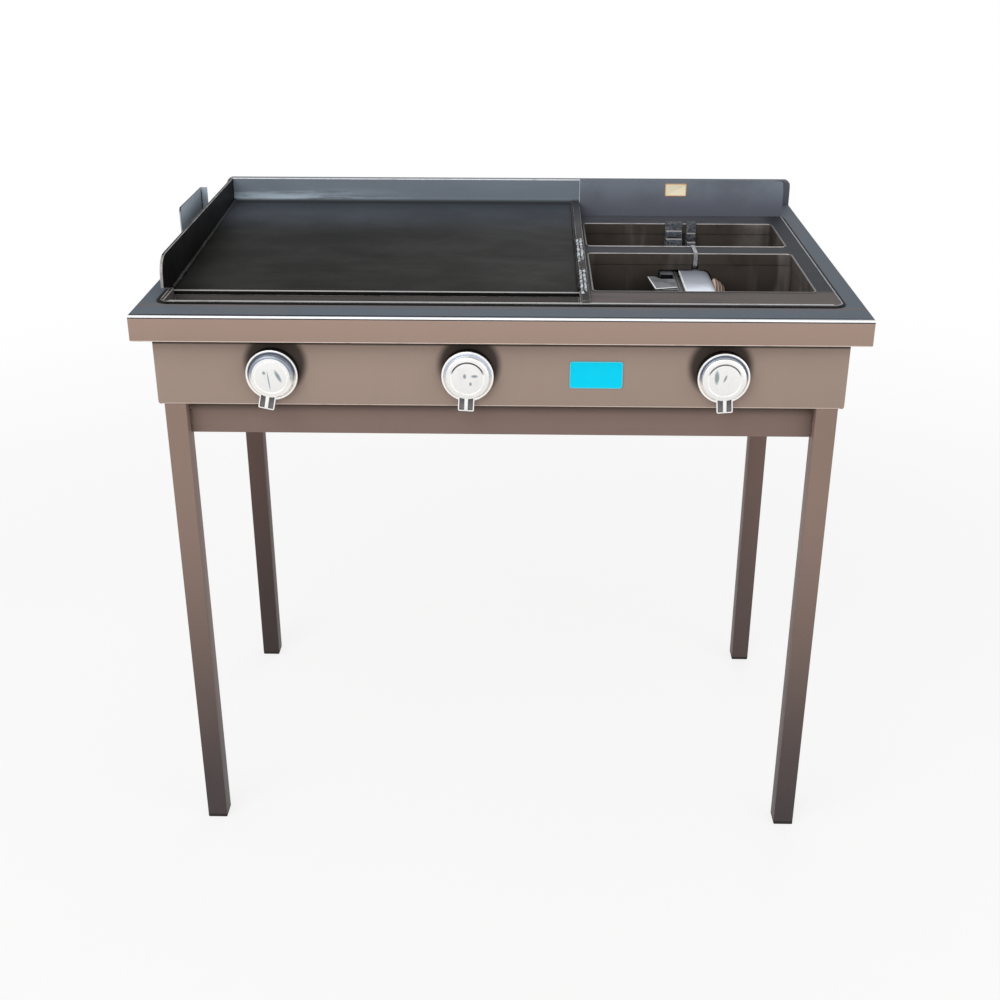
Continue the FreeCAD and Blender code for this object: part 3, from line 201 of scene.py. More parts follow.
class Board:
    """Node tree whose nodes are all added in one way."""

    def __init__(self, tree: bpy.types.NodeTree) -> None:
        """Keep the tree of a material or of the sky."""
        self.tree = tree

    def node(self, kind: str, settings: dict[str, Any] | None = None,
             inputs: dict[Any, Any] | None = None) -> bpy.types.Node:
        """Add a node.

        Args:
            kind: Node type.
            settings: The node's own settings, set before its sockets.
            inputs: Value or link for each socket, by name or number.

        Returns:
            The node.
        """
        made = self.tree.nodes.new(kind)
        for key, value in (settings or {}).items():
            setattr(made, key, value)
        for key, value in (inputs or {}).items():
            self.feed(made.inputs[key], value)
        return made

    def feed(self, socket: bpy.types.NodeSocket, value: Any) -> None:
        """Link a value to a socket, or set a constant on it.

        Args:
            socket: Socket to fill.
            value: Value, output, colour or number.
        """
        if isinstance(value, Value):
            self.tree.links.new(value.link, socket)
        elif isinstance(value, bpy.types.NodeSocket):
            self.tree.links.new(value, socket)
        elif isinstance(value, tuple) and socket.type == "RGBA":
            socket.default_value = (*value, 1.0)
        else:
            socket.default_value = value

    def rays(self, *kinds: str) -> Value:
        """1 for the named kinds of ray, 0 for the others.

        Args:
            kinds: Outputs of the Light Path node.

        Returns:
            The highest of those outputs.
        """
        path = self.node("ShaderNodeLightPath")
        first, *others = [Value(self, path.outputs[kind]) for kind in kinds]
        for other in others:
            first = first.most(other)
        return first


class Recipe(Board):
    """Builds the nodes of one material."""

    def __init__(self, name: str) -> None:
        """Start a material.

        Args:
            name: Name of the finish.
        """
        self.material = bpy.data.materials.new(name)
        self.material.use_nodes = True
        super().__init__(self.material.node_tree)
        self.surface = next(n for n in self.tree.nodes if n.type == "BSDF_PRINCIPLED")
        self.spot = self.node("ShaderNodeTexCoord").outputs["Object"]

    def place(self) -> tuple[Value, Value, Value]:
        """X, Y and Z of the point, in the part's own frame."""
        made = self.node("ShaderNodeSeparateXYZ", None, {0: self.spot})
        return tuple(Value(self, out) for out in made.outputs)

    def upward(self) -> Value:
        """How far the surface faces up, from -1 to 1."""
        facing = self.node("ShaderNodeNewGeometry").outputs["Normal"]
        made = self.node("ShaderNodeSeparateXYZ", None, {0: facing})
        return Value(self, made.outputs[2])

    def stretched(self, stretch: Place, turn: float = 0.0) -> Any:
        """Point with each direction scaled, so that a pattern runs along one of them.

        Args:
            stretch: Scale along X, Y and Z.
            turn: Turn about Z, in radians.

        Returns:
            The output to use as a pattern's vector.
        """
        if stretch == (1, 1, 1) and not turn:
            return self.spot
        made = self.node("ShaderNodeMapping", None,
                         {0: self.spot, "Scale": stretch, "Rotation": (0, 0, turn)})
        return made.outputs[0]

    def cloud(self, scale: float, detail: float = 3.0, rough: float = 0.5,
              stretch: Place = (1, 1, 1), turn: float = 0.0) -> Value:
        """Soft random pattern.

        Args:
            scale: Marks per metre.
            detail: How many finer layers it has.
            rough: Strength of the finer layers.
            stretch: Scale along each direction.
            turn: Turn about Z, in radians.

        Returns:
            Pattern, about 0.3 to 0.7.
        """
        made = self.node("ShaderNodeTexNoise", None, {
            "Vector": self.stretched(stretch, turn), "Scale": scale, "Detail": detail,
            "Roughness": rough})
        return Value(self, made.outputs[0])

    def grains(self, scale: float) -> Value:
        """Distance from the nearest of many scattered points.

        Args:
            scale: Points per metre.

        Returns:
            Distance, 0 at a point.
        """
        made = self.node("ShaderNodeTexVoronoi", None, {"Vector": self.spot, "Scale": scale})
        return Value(self, made.outputs[0])

    def blend(self, share: Any, first: Any, second: Any) -> Value:
        """Mix two colours.

        Args:
            share: Share of the second one.
            first: Colour at share 0.
            second: Colour at share 1.

        Returns:
            The mixed colour.
        """
        made = self.node("ShaderNodeMix", {"data_type": "RGBA"}, {0: share, 6: first, 7: second})
        return Value(self, made.outputs[2])

    def relief(self, height: Value, depth: float, strength: float = 1.0) -> Value:
        """Bump from a height pattern.

        Args:
            height: Pattern.
            depth: Height of a full step, in metres.
            strength: Share of it that shows.

        Returns:
            The bent normal.
        """
        made = self.node("ShaderNodeBump", None,
                         {"Strength": strength, "Distance": depth, "Height": height})
        return Value(self, made.outputs[0])

    def finish(self, **sockets: Any) -> bpy.types.Material:
        """Fill the surface's sockets.

        Args:
            sockets: Values by socket name, with spaces written as underscores.

        Returns:
            The material.
        """
        for name, value in sockets.items():
            self.feed(self.surface.inputs[name.replace("_", " ")], value)
        return self.material


MADE: dict[str, bpy.types.Material] = {}


@dataclass(frozen=True)
class Finish:
    """A finish that makes its material once."""

    name: str

    def build(self, recipe: Recipe) -> bpy.types.Material:
        """Make the nodes.

        Args:
            recipe: Material to fill.

        Returns:
            The material.
        """
        raise NotImplementedError

    def material(self) -> bpy.types.Material:
        """The material of this finish, made on first use."""
        if self.name not in MADE:
            MADE[self.name] = self.build(Recipe(self.name))
        return MADE[self.name]


@dataclass(frozen=True)
class SheetPaint(Finish):
    """Satin paint on folded sheet, with painted light: the cooler colour of faces that look up is a
    painted sky reflection, and the darkening near the ground is painted shade.
    """

    side: Colour
    top: Colour
    low: Colour
    fade_from: float = 0.72
    rough: float = 0.42
    shine: float = 0.12
    mottle: float = 0.16
    shade_from: float = 0.0
    shade_to: float = 0.0
    shade: float = 0.0
    upper: Colour | None = None
    upper_from: float = 0.848
    strip: Colour | None = None
    strip_line: Colour = (0.0, 0.0, 0.0)
    strip_from: float = -0.296
    strip_to: float = -0.343
    strip_soft: float = 0.006
    strip_core: float = 0.004
    strip_end: float = 0.014
    line_soft: float = 0.0012
    knob_shadows: tuple[tuple[float, float], ...] = ()
    knob_shadow_edge: float = 0.052
    knob_shadow_core: float = 0.039
    pores: float = 0.00022

    def build(self, recipe: Recipe) -> bpy.types.Material:
        """Make the nodes.

        Args:
            recipe: Material to fill.

        Returns:
            The material.
        """
        across, back, height = recipe.place()
        # Painted shade: upright faces go from the side colour to the low colour toward the ground.
        upright = recipe.blend(height.rise(0.0, self.fade_from), self.low, self.side)
        if self.upper:
            upright = recipe.blend(height.rise(self.upper_from, self.upper_from + CRISP), upright,
                                   self.upper)
        top = self.top
        if self.strip:
            fading = back.rise(self.strip_from - self.strip_core, self.strip_from - self.strip_end)
            start = back.rise(self.strip_from + self.strip_soft, self.strip_from)
            line = back.rise(self.strip_to + self.line_soft, self.strip_to)
            top = recipe.blend(start, self.top, recipe.blend(fading, self.strip, self.top))
            # Painted reflection: a dark line on the top just behind the front fold's highlight.
            top = recipe.blend(line, top, self.strip_line)
        # Painted sky reflection: faces that look up take the cooler top colour.
        colour = recipe.blend(recipe.upward().rise(0.5, 0.9), upright, top)
        wide = recipe.cloud(4.5, 4, 0.55)
        wiped = recipe.cloud(30, 3, 0.6, (1, 1, 0.12))
        colour = recipe.blend(wide.rise(0.42, 0.75) * self.mottle + wiped.rise(0.5, 0.8) * 0.07,
                              colour, scaled(self.side, 0.72))
        dust = recipe.grains(240).rise(0.10, 0.02) * wide.rise(0.45, 0.6) * 0.12
        colour = recipe.blend(dust, colour, scaled(self.side, 1.7))
        # Painted shadow: a dark band between shade_from and shade_to, under the worktop's overhang
        # and in the gaps below the panels; on the rail it also stands for dirt.
        if self.shade:
            shadow_band = height.rise(self.shade_from, self.shade_to) * self.shade
            colour = recipe.blend(shadow_band, colour, scaled(self.side, 0.12))
        # Painted shadow: a dark soft patch round each knob's axis on the panel, for the shade that
        # the knobs cast.
        for x, z in self.knob_shadows:
            away = ((across - x) ** 2.0 + (height - z) ** 2.0) ** 0.5 + wide * 0.006
            colour = recipe.blend(away.rise(self.knob_shadow_edge, self.knob_shadow_core) * 0.88, colour,
                                  scaled(self.side, 0.05))
        skin = recipe.cloud(520, 2, 0.5) * 0.6 + recipe.cloud(1500, 1, 0.5) * 0.4
        return recipe.finish(
            Base_Color=colour, Roughness=self.rough + wide * 0.16 - wiped * 0.08,
            Specular_IOR_Level=self.shine, Normal=recipe.relief(skin, self.pores, 0.5))


@dataclass(frozen=True)
class FoldedEdge(Finish):
    """Fold or cut edge with paint wear, whose bright colour is also a painted highlight, and for
    lined edges painted dark reflection lines beside it.
    """

    bare_and_highlight: Colour
    paint: Colour
    shown: float = 0.7
    metal: float = 0.35
    lined: Colour | None = None
    dull: Colour = (0.15, 0.13, 0.12)
    dull_bands: tuple[tuple[Axis, float, float], ...] = ()
    band_soft: float = 0.0006
    bend: tuple[float, float] = (0.34, 0.90)

    def build(self, recipe: Recipe) -> bpy.types.Material:
        """Make the nodes.

        Args:
            recipe: Material to fill.

        Returns:
            The material.
        """
        wear_and_highlight = recipe.cloud(26, 5, 0.65).rise(0.62 - self.shown * 0.3, 0.70 - self.shown * 0.3)
        nicks = recipe.cloud(310, 3, 0.7).rise(0.5, 0.6)
        share = wear_and_highlight * (0.75 + nicks * 0.25)
        colour = recipe.blend(share, self.paint, self.bare_and_highlight)
        # Painted reflection: dark lines on each side of the highlight, by the facing of the rounded
        # edge.
        if self.lined:
            middle = recipe.upward().band(*self.bend, 0.06)
            colour = recipe.blend(middle, self.lined, colour)
            share = share * middle
        place = recipe.place() if self.dull_bands else ()
        for axis, low, high in self.dull_bands:
            colour = recipe.blend(place[axis.value].band(low, high, self.band_soft), colour,
                                  self.dull)
        return recipe.finish(
            Base_Color=colour, Metallic=share * self.metal, Roughness=0.46 - share * 0.1,
            Specular_IOR_Level=0.15, Normal=recipe.relief(nicks, 0.0001, 0.4))


@dataclass(frozen=True)
class SeasonedSteel(Finish):
    """Thick griddle steel under burnt-on oil, wiped across, with a painted bluish sky reflection
    toward the back.
    """

    black: Colour
    oiled: Colour
    sky_sheen: Colour
    sheen_from: float = 0.0
    sheen_to: float = 0.15
    rough: float = 0.45
    shine: float = 0.02
    lit: Colour | None = None
    lit_before: float = 0.0
    lit_soft: float = 0.0006
    dark_below: float = 0.0
    dark_soft: float = 0.0003
    oil_glint: tuple[float, float, float, float] | None = None
    oil_glint_colour: Colour = (0.55, 0.54, 0.53)

    def build(self, recipe: Recipe) -> bpy.types.Material:
        """Make the nodes.

        Args:
            recipe: Material to fill.

        Returns:
            The material.
        """
        side, back, height = recipe.place()
        pools = recipe.cloud(7, 5, 0.6)
        wiped = recipe.cloud(9, 5, 0.6, (0.8, 1.6, 1))
        scraped = recipe.cloud(60, 3, 0.7, (0.08, 6.0, 1), 0.06)
        crust = recipe.grains(95) * recipe.cloud(30, 3, 0.6)
        colour = recipe.blend(wiped.rise(0.38, 0.68), self.black, self.oiled)
        # Painted sky reflection: bluish toward the back; the scrape streaks also lighten toward
        # this sheen.
        blue = (back + pools * 0.12 - 0.06).rise(self.sheen_from, self.sheen_to)
        colour = recipe.blend(blue * (0.62 + wiped * 0.5), colour, self.sky_sheen)
        colour = recipe.blend(scraped.rise(0.68, 0.76) * 0.12, colour, self.sky_sheen)
        colour = recipe.blend(crust.rise(0.10, 0.02) * 0.4, colour, self.black)
        if self.lit:
            front = back.rise(self.lit_before + self.lit_soft, self.lit_before - self.lit_soft)
            colour = recipe.blend(front * (0.8 + pools * 0.3), colour, self.lit)
        # Painted highlight: a bright rippled glint on the oil at one spot.
        if self.oil_glint:
            x, y, wide, deep = self.oil_glint
            away = ((side - x) / wide) ** 2.0 + ((back - y) / deep) ** 2.0
            ripples = recipe.cloud(70, 3, 0.6, (0.5, 2.6, 1), 0.35).rise(0.46, 0.56)
            colour = recipe.blend(away.rise(1.2, 0.3) * ripples * 0.85, colour, self.oil_glint_colour)
        # Painted shadow: black below dark_below, the gap under the ring's front edge.
        if self.dark_below:
            foot = height.rise(self.dark_below + self.dark_soft, self.dark_below - self.dark_soft)
            colour = recipe.blend(foot, colour, INK)
        return recipe.finish(
            Base_Color=colour, Roughness=self.rough + pools * 0.22 - wiped * 0.14,
            Specular_IOR_Level=self.shine,
            Normal=recipe.relief(wiped * 0.7 + crust * 0.5 + scraped * 0.2, 0.0004, 0.4))


@dataclass(frozen=True)
class OiledSplash(Finish):
    """Upright steel behind the plate: slate film, paler smears of oil at its left foot, and a
    painted shade along its foot where it meets the plate.
    """

    film: Colour
    smear: Colour
    foot: Colour
    foot_height: float = 0.872
    foot_soft: float = 0.006
    smear_top: float = 0.026
    smear_foot: float = 0.004
    smear_to: float = -0.10
    smear_run: float = 0.30

    def build(self, recipe: Recipe) -> bpy.types.Material:
        """Make the nodes.

        Args:
            recipe: Material to fill.

        Returns:
            The material.
        """
        side, _, height = recipe.place()
        haze = recipe.cloud(6, 4, 0.55, (1, 1, 3.0))
        strokes = recipe.cloud(20, 5, 0.65, (0.35, 1, 3.4))
        low = height.rise(self.foot_height + self.smear_top, self.foot_height + self.smear_foot)
        left = side.rise(self.smear_to, self.smear_to - self.smear_run)
        # Painted shade: a darker band along the foot, in the crease with the plate.
        foot = height.rise(self.foot_height + self.foot_soft, self.foot_height)
        colour = recipe.blend(haze.rise(0.36, 0.70) * 0.5, self.film, scaled(self.film, 0.80))
        colour = recipe.blend(low * left * strokes.rise(0.40, 0.60) * 0.9, colour, self.smear)
        colour = recipe.blend(foot, colour, self.foot)
        specks = recipe.grains(210).rise(0.10, 0.03) * haze.rise(0.45, 0.6)
        colour = recipe.blend(specks * 0.3, colour, self.smear)
        return recipe.finish(
            Base_Color=colour, Roughness=0.5 - strokes * 0.12, Specular_IOR_Level=0.08,
            Normal=recipe.relief(strokes + haze * 0.5, 0.0003, 0.4))


@dataclass(frozen=True)
class DeckPaint(Finish):
    """Dark deck paint: a browner painted reflection along its front strip, deeper on its right,
    painted lighter and cooler at the back against the splash's shadow, with painted highlight lines
    along the edges of the openings.
    """

    middle: Colour
    front: Colour
    rear: Colour
    right: Colour
    front_to: float = -0.224
    rear_from: float = 0.176
    right_from: float = 0.440
    soft: float = 0.012
    rim_highlights: tuple[tuple[float, float], ...] = ((-0.0162, -0.0130), (0.1788, 0.1815))
    rim_ends: tuple[float, float] = (0.136, 0.430)
    rim_soft: float = 0.0005
    rim_end_soft: float = 0.004
    rim: Colour = (0.34, 0.32, 0.32)

    def build(self, recipe: Recipe) -> bpy.types.Material:
        """Make the nodes.

        Args:
            recipe: Material to fill.

        Returns:
            The material.
        """
        side, back, _ = recipe.place()
        soft = self.soft
        streaks = recipe.cloud(14, 4, 0.6, (0.25, 3.0, 1))
        patch = recipe.cloud(9, 4, 0.55)
        # Painted light: the rear strip is lighter to offset the splash's shadow.
        colour = recipe.blend(back.rise(self.rear_from - soft, self.rear_from + soft), self.middle,
                              self.rear)
        colour = recipe.blend(side.rise(self.right_from - soft, self.right_from + soft), colour,
                              self.right)
        # Painted reflection: a browner tone along the front strip.
        colour = recipe.blend(back.rise(self.front_to + soft, self.front_to - soft), colour,
                              self.front)
        colour = recipe.blend(streaks.rise(0.52, 0.70) * 0.4 + patch.rise(0.5, 0.7) * 0.2, colour,
                              scaled(self.middle, 0.70))
        colour = recipe.blend(streaks.rise(0.44, 0.30) * 0.25, colour, scaled(self.middle, 1.5))
        # Painted highlights: light lines along the edges of the openings.
        for low, high in self.rim_highlights:
            line = back.band(low, high, self.rim_soft)
            line = line * side.band(*self.rim_ends, self.rim_end_soft)
            colour = recipe.blend(line, colour, self.rim)
        skin = recipe.cloud(520, 2, 0.5)
        return recipe.finish(Base_Color=colour, Roughness=0.50 + patch * 0.16,
                             Specular_IOR_Level=0.02, Normal=recipe.relief(skin, 0.0002, 0.5))


@dataclass(frozen=True)
class HeatedPaint(Finish):
    """Dark paint browned by heat, soft and streaked downward, with painted shade darkening it
    toward the bottom.
    """

    deep: Colour
    brown: Colour
    pale: Colour
    floor_height: float = 0.735
    rim_height: float = 0.845
    rough: float = 0.5
    shine: float = 0.18
    smear: float = 0.0
    smear_ends: tuple[float, float] = (0.400, 0.436)
    smear_soft: float = 0.026

    def build(self, recipe: Recipe) -> bpy.types.Material:
        """Make the nodes.

        Args:
            recipe: Material to fill.

        Returns:
            The material.
        """
        side, _, height = recipe.place()
        runs = recipe.cloud(16, 4, 0.6, (1, 1, 0.15))
        patch = recipe.cloud(11, 4, 0.6)
        # Painted shade: darker from rim_height down to floor_height, deep in the tub and at the
        # splash's foot.
        colour = recipe.blend(height.rise(self.floor_height, self.rim_height), self.deep,
                              self.brown)
        colour = recipe.blend(runs.rise(0.52, 0.74) * 0.45, colour, self.pale)
        if self.smear:
            right = side.band(*self.smear_ends, self.smear_soft) * runs.rise(0.38, 0.52)
            colour = recipe.blend(right * self.smear, colour, self.pale)
        colour = recipe.blend(patch.rise(0.5, 0.72) * 0.5, colour, self.deep)
        soot = recipe.grains(160).rise(0.14, 0.03) * patch.rise(0.4, 0.6)
        colour = recipe.blend(soot * 0.4, colour, self.deep)
        return recipe.finish(
            Base_Color=colour, Roughness=self.rough + patch * 0.2, Specular_IOR_Level=self.shine,
            Normal=recipe.relief(recipe.cloud(420, 3, 0.6), 0.0003, 0.5))


@dataclass(frozen=True)
class BrushedMetal(Finish):
    """Drawn or brushed steel, dulled in patches, with optional painted light: a bright front grade,
    light and dark rib bands, and a black shadow band.
    """

    bright: Colour
    dull: Colour
    along: Axis = Axis.X
    rough: float = 0.32
    metal: float = 0.85
    heat: Colour | None = None
    grade_from: float = 0.0
    grade_to: float = 0.0
    ribs: float = 0.0
    ribs_from: float = 0.0
    fine_ribs: float = 1800.0
    rib_bright: Colour = (0.12, 0.12, 0.12)
    rib_dull: Colour = (0.022, 0.022, 0.024)
    black_from: float = 0.0
    scratch: float = 0.00012

    def build(self, recipe: Recipe) -> bpy.types.Material:
        """Make the nodes.

        Args:
            recipe: Material to fill.

        Returns:
            The material.
        """
        across, back, _ = recipe.place()
        stretch = [6.0, 6.0, 6.0]
        stretch[self.along.value] = 0.15
        lines = recipe.cloud(120, 4, 0.7, tuple(stretch))
        patch = recipe.cloud(38, 5, 0.6)
        # Painted highlight: bright toward the front, fading to dull toward grade_to.
        if self.grade_to:
            far = (back + patch * 0.02 - 0.01).rise(self.grade_from, self.grade_to)
            colour = recipe.blend(far, self.bright, self.dull)
            colour = recipe.blend(lines.rise(0.5, 0.7) * 0.10, colour, self.dull)
        # Painted highlights: bright and dull bands across the nose's rings.
        elif self.ribs:
            share = ((across * self.ribs).sine() + patch * 0.8 - 0.4).rise(-0.2, 1.0)
            colour = recipe.blend(share, self.dull, self.bright)
        else:
            colour = recipe.blend(patch.rise(0.4, 0.7), self.bright, self.dull)
            colour = recipe.blend(lines.rise(0.45, 0.7) * 0.3, colour, self.dull)
        # Painted light on the flange: light and dark stripes for its ribs, then a black painted
        # shadow band next to the body.
        if self.ribs_from:
            ribbed = recipe.blend((across * self.fine_ribs).sine().rise(-0.1, 1.0), self.rib_dull,
                                  self.rib_bright)
            ribbed = recipe.blend(across.rise(self.black_from, self.black_from + CRISP), ribbed,
                                  INK)
            colour = recipe.blend(across.rise(self.ribs_from, self.ribs_from + CRISP), colour,
                                  ribbed)
        if self.heat:
            colour = recipe.blend(recipe.cloud(55, 3, 0.5).rise(0.42, 0.62), colour, self.heat)
        spots = recipe.grains(300).rise(0.16, 0.05) * patch.rise(0.5, 0.65)
        colour = recipe.blend(spots * 0.5, colour, scaled(self.dull, 0.4))
        return recipe.finish(
            Base_Color=colour, Specular_IOR_Level=0.2, Metallic=self.metal - spots * 0.5,
            Roughness=self.rough + patch * 0.18 + lines * 0.08,
            Normal=recipe.relief(lines, self.scratch, 0.5))


@dataclass(frozen=True)
class CastMetal(Finish):
    """Sand-cast or weld metal: coarse skin, dark in its hollows."""

    face: Colour
    hollow: Colour
    grain: float = 420.0
    depth: float = 0.0006
    metal: float = 0.4
    rough: float = 0.52

    def build(self, recipe: Recipe) -> bpy.types.Material:
        """Make the nodes.

        Args:
            recipe: Material to fill.

        Returns:
            The material.
        """
        skin = recipe.cloud(self.grain, 4, 0.65)
        lumps = recipe.grains(self.grain * 0.6)
        colour = recipe.blend(skin.rise(0.36, 0.64), self.hollow, self.face)
        glint = recipe.cloud(90, 4, 0.7).rise(0.58, 0.68)
        colour = recipe.blend(glint * 0.35, colour, scaled(self.face, 2.2))
        return recipe.finish(
            Base_Color=colour, Metallic=self.metal, Roughness=self.rough - glint * 0.18,
            Specular_IOR_Level=0.3, Normal=recipe.relief(skin + lumps * 0.5, self.depth, 0.6))


@dataclass(frozen=True)
class Plating(Finish):
    """Bright plating: painted shade toward its top, clouded and scuffed by hands, with painted dark
    reflections as soft dark spots.
    """

    bright: Colour
    shade: Colour
    shade_from: float = 0.748
    shade_to: float = 0.770
    shaded: float = 0.0
    reflection_marks: tuple[tuple[float, float, float, float, float], ...] = ()
    mark: Colour = (0.10, 0.17, 0.20)
    wander: float = 0.012
    rough: float = 0.20
    metal: float = 0.75

    def build(self, recipe: Recipe) -> bpy.types.Material:
        """Make the nodes.

        Args:
            recipe: Material to fill.

        Returns:
            The material.
        """
        side, _, height = recipe.place()
        smear = recipe.cloud(65, 5, 0.6)
        scuff = recipe.cloud(700, 3, 0.7, (1, 1, 0.3))
        colour = recipe.blend(smear.rise(0.5, 0.72) * 0.25, self.bright, self.shade)
        if self.shaded:
            top = height + smear * self.wander - self.wander / 2
            colour = recipe.blend(top.rise(self.shade_from, self.shade_to) * self.shaded, colour,
                                  self.shade)
        # Painted dark reflections: soft dark ellipses; on the left knob one streak is a painted
        # shadow beside the lever.
        for x, z, wide, tall, lean in self.reflection_marks:
            along = (height - z) / tall
            over = (side - x + (height - z) * lean) / wide
            away = along ** 2.0 + over ** 2.0 + smear * 0.8 - 0.4
            colour = recipe.blend(away.rise(1.3, 0.1) * 0.75, colour, self.mark)
        colour = recipe.blend(recipe.grains(520).rise(0.12, 0.04) * 0.15, colour, self.shade)
        return recipe.finish(
            Base_Color=colour, Metallic=self.metal, Specular_IOR_Level=0.4,
            Roughness=self.rough + smear * 0.14 + scuff * 0.05,
            Normal=recipe.relief(smear + scuff * 0.15, 0.00020, 0.3))


@dataclass(frozen=True)
class Plastic(Finish):
    """Moulded plastic or printed plate with a fine grain and dust."""

    colour: Colour
    rough: float = 0.45
    fade: float = 0.12
    shine: float = 0.3
    dust: Colour = (0.5, 0.48, 0.45)

    def build(self, recipe: Recipe) -> bpy.types.Material:
        """Make the nodes.

        Args:
            recipe: Material to fill.

        Returns:
            The material.
        """
        patch = recipe.cloud(45, 4, 0.6)
        grain = recipe.cloud(1900, 2, 0.6)
        colour = recipe.blend(patch.rise(0.42, 0.7) * self.fade * 2, self.colour,
                              scaled(self.colour, 1.35, 0.02))
        dust = recipe.grains(420).rise(0.12, 0.04) * patch.rise(0.5, 0.6)
        colour = recipe.blend(dust * 0.2, colour, self.dust)
        return recipe.finish(
            Base_Color=colour, Roughness=self.rough + grain * 0.12 + patch * 0.06,
            Specular_IOR_Level=self.shine, Normal=recipe.relief(grain, 0.0001, 0.35))


@dataclass(frozen=True)
class Ground(Finish):
    """Pale studio floor that stays near white to the lens and still holds a soft shadow."""

    shade: float = 0.86
    glow: float = 0.80
    reach: float = 1.1
    end: float = 3.0

    def build(self, recipe: Recipe) -> bpy.types.Material:
        """Make the nodes.

        Args:
            recipe: Material to fill.

        Returns:
            The material.
        """
        side, back, _ = recipe.place()
        mottle = recipe.cloud(3, 3, 0.5)
        level = self.shade
        recipe.finish(Roughness=0.9, Specular_IOR_Level=0.0, Base_Color=recipe.blend(
            mottle, (level, level, level), (level * 0.98, level * 0.98, level * 0.97)))
        away = (side ** 2.0 + back ** 2.0) ** 0.5
        glow = away.rise(self.reach, self.end) * (1 - self.glow) + self.glow
        seen = recipe.rays("Is Camera Ray", "Is Glossy Ray")
        lit = recipe.node("ShaderNodeEmission", None, {"Color": WHITE, "Strength": 1.0})
        mix = recipe.node("ShaderNodeMixShader", None, {
            0: seen * glow, 1: recipe.surface.outputs[0], 2: lit.outputs[0]})
        output = next(n for n in recipe.tree.nodes if n.type == "OUTPUT_MATERIAL")
        recipe.feed(output.inputs["Surface"], mix.outputs[0])
        return recipe.material


# Panel paints: their shade bands are painted shadow under the worktop, on the front panel a painted
# shadow line under the apron, and the soft rings round the knobs are painted shadows.
TAUPE = SheetPaint("taupe_panel", tone(158, 139, 128), tone(120, 112, 108), tone(140, 122, 112),
                   0.80, shade_from=0.832, shade_to=0.8455, shade=0.55)
FRONT = SheetPaint("taupe_front", tone(156, 137, 126), tone(120, 112, 108), tone(128, 108, 97),
                   0.80, shade_from=0.7985, shade_to=0.8015, shade=0.9,
                   knob_shadows=((-0.309, 0.774), (-0.042, 0.772), (0.302, 0.772)))
# Worktop: taupe paint whose slate top is a painted sky reflection; the upstand above the fold takes
# a slate tone too, and strip_line paints a dark line behind the fold's highlight.
APRON = SheetPaint("taupe_with_painted_sky_top", tone(158, 136, 124), tone(96, 104, 113),
                   tone(120, 105, 98), rough=0.5, shine=0.01, upper=tone(88, 93, 100),
                   upper_from=0.8464, strip=tone(106, 103, 105), strip_line=tone(34, 46, 58))
# Legs: one paint; the darker rear-leg copies are painted shade, the right rear one less shaded, and
# all darken toward the ground as painted shade.
LEG = SheetPaint("front_leg_paint", tone(138, 117, 107), tone(110, 100, 95), tone(74, 66, 67), 0.62)
REAR_LEG = SheetPaint("rear_leg_shadowed", tone(108, 87, 80), tone(90, 80, 76), tone(68, 59, 58),
                      0.7)
FAR_LEG = SheetPaint("right_rear_leg_less_shaded", tone(134, 111, 102), tone(90, 80, 76),
                     tone(92, 79, 77), 0.7)
RAIL = SheetPaint("rail_shadowed", tone(128, 109, 101), tone(20, 18, 18), tone(96, 82, 76),
                  shade_from=0.692, shade_to=0.713, shade=0.95)
# Side bracket: its bright slate side is a painted sky reflection on the worktop's paint.
SLATE = SheetPaint("slate_bracket", tone(166, 178, 190), tone(84, 90, 97), tone(150, 160, 168),
                   shine=0.04)
DECK = DeckPaint("dark_deck", tone(66, 68, 72), tone(96, 90, 88), tone(88, 90, 97),
                 tone(58, 61, 65))
SPLASH_PAINT = HeatedPaint("slate_splash", tone(98, 100, 111), tone(122, 130, 140),
                           tone(124, 126, 130), 0.852, 0.908, shine=0.02)
# Edge finishes: their bright colours are mostly painted highlights along folds, hems and rims, over
# some real wear.
TAUPE_EDGE = FoldedEdge("taupe_fold", tone(226, 208, 196), tone(204, 184, 172), 0.8, 0.0)
HEM_EDGE = FoldedEdge("apron_hem", tone(222, 204, 194), tone(200, 180, 168), 0.8, 0.0)
WHITE_EDGE = FoldedEdge("worktop_fold", tone(252, 253, 255), tone(236, 240, 246), 0.9, 0.0,
                        tone(26, 34, 44))
SPLASH_EDGE = FoldedEdge("splash_hem", tone(238, 240, 243), tone(205, 208, 212), 0.9, 0.1)
STEEL_EDGE = FoldedEdge("steel_fold", tone(168, 164, 162), tone(112, 110, 110), 0.7, 0.2)
LIT_EDGE = FoldedEdge("ring_edge_highlight", tone(206, 203, 200), tone(168, 164, 162), 0.9, 0.0)
TOP_EDGE_HIGHLIGHT = FoldedEdge("top_front_highlight", tone(176, 174, 174), tone(156, 154, 154), 0.9, 0.0)
SIDE_EDGE_HIGHLIGHT = FoldedEdge("top_side_highlight", tone(124, 127, 131), tone(104, 107, 112), 0.9, 0.0)
DARK_EDGE = FoldedEdge("dark_fold", tone(112, 110, 110), tone(62, 60, 60), 0.5, 0.1)
RIM_EDGE = FoldedEdge("well_rim", tone(182, 177, 177), tone(156, 151, 150), 0.8, 0.0,
                      dull=tone(92, 88, 88), dull_bands=(
                          (Axis.X, 0.120, 0.1325), (Axis.X, 0.4408, 0.450),
                          (Axis.Y, -0.235, -0.2245)))
GAP = FoldedEdge("shadow_gap", tone(24, 23, 25), tone(10, 10, 12), 0.3, 0.0)
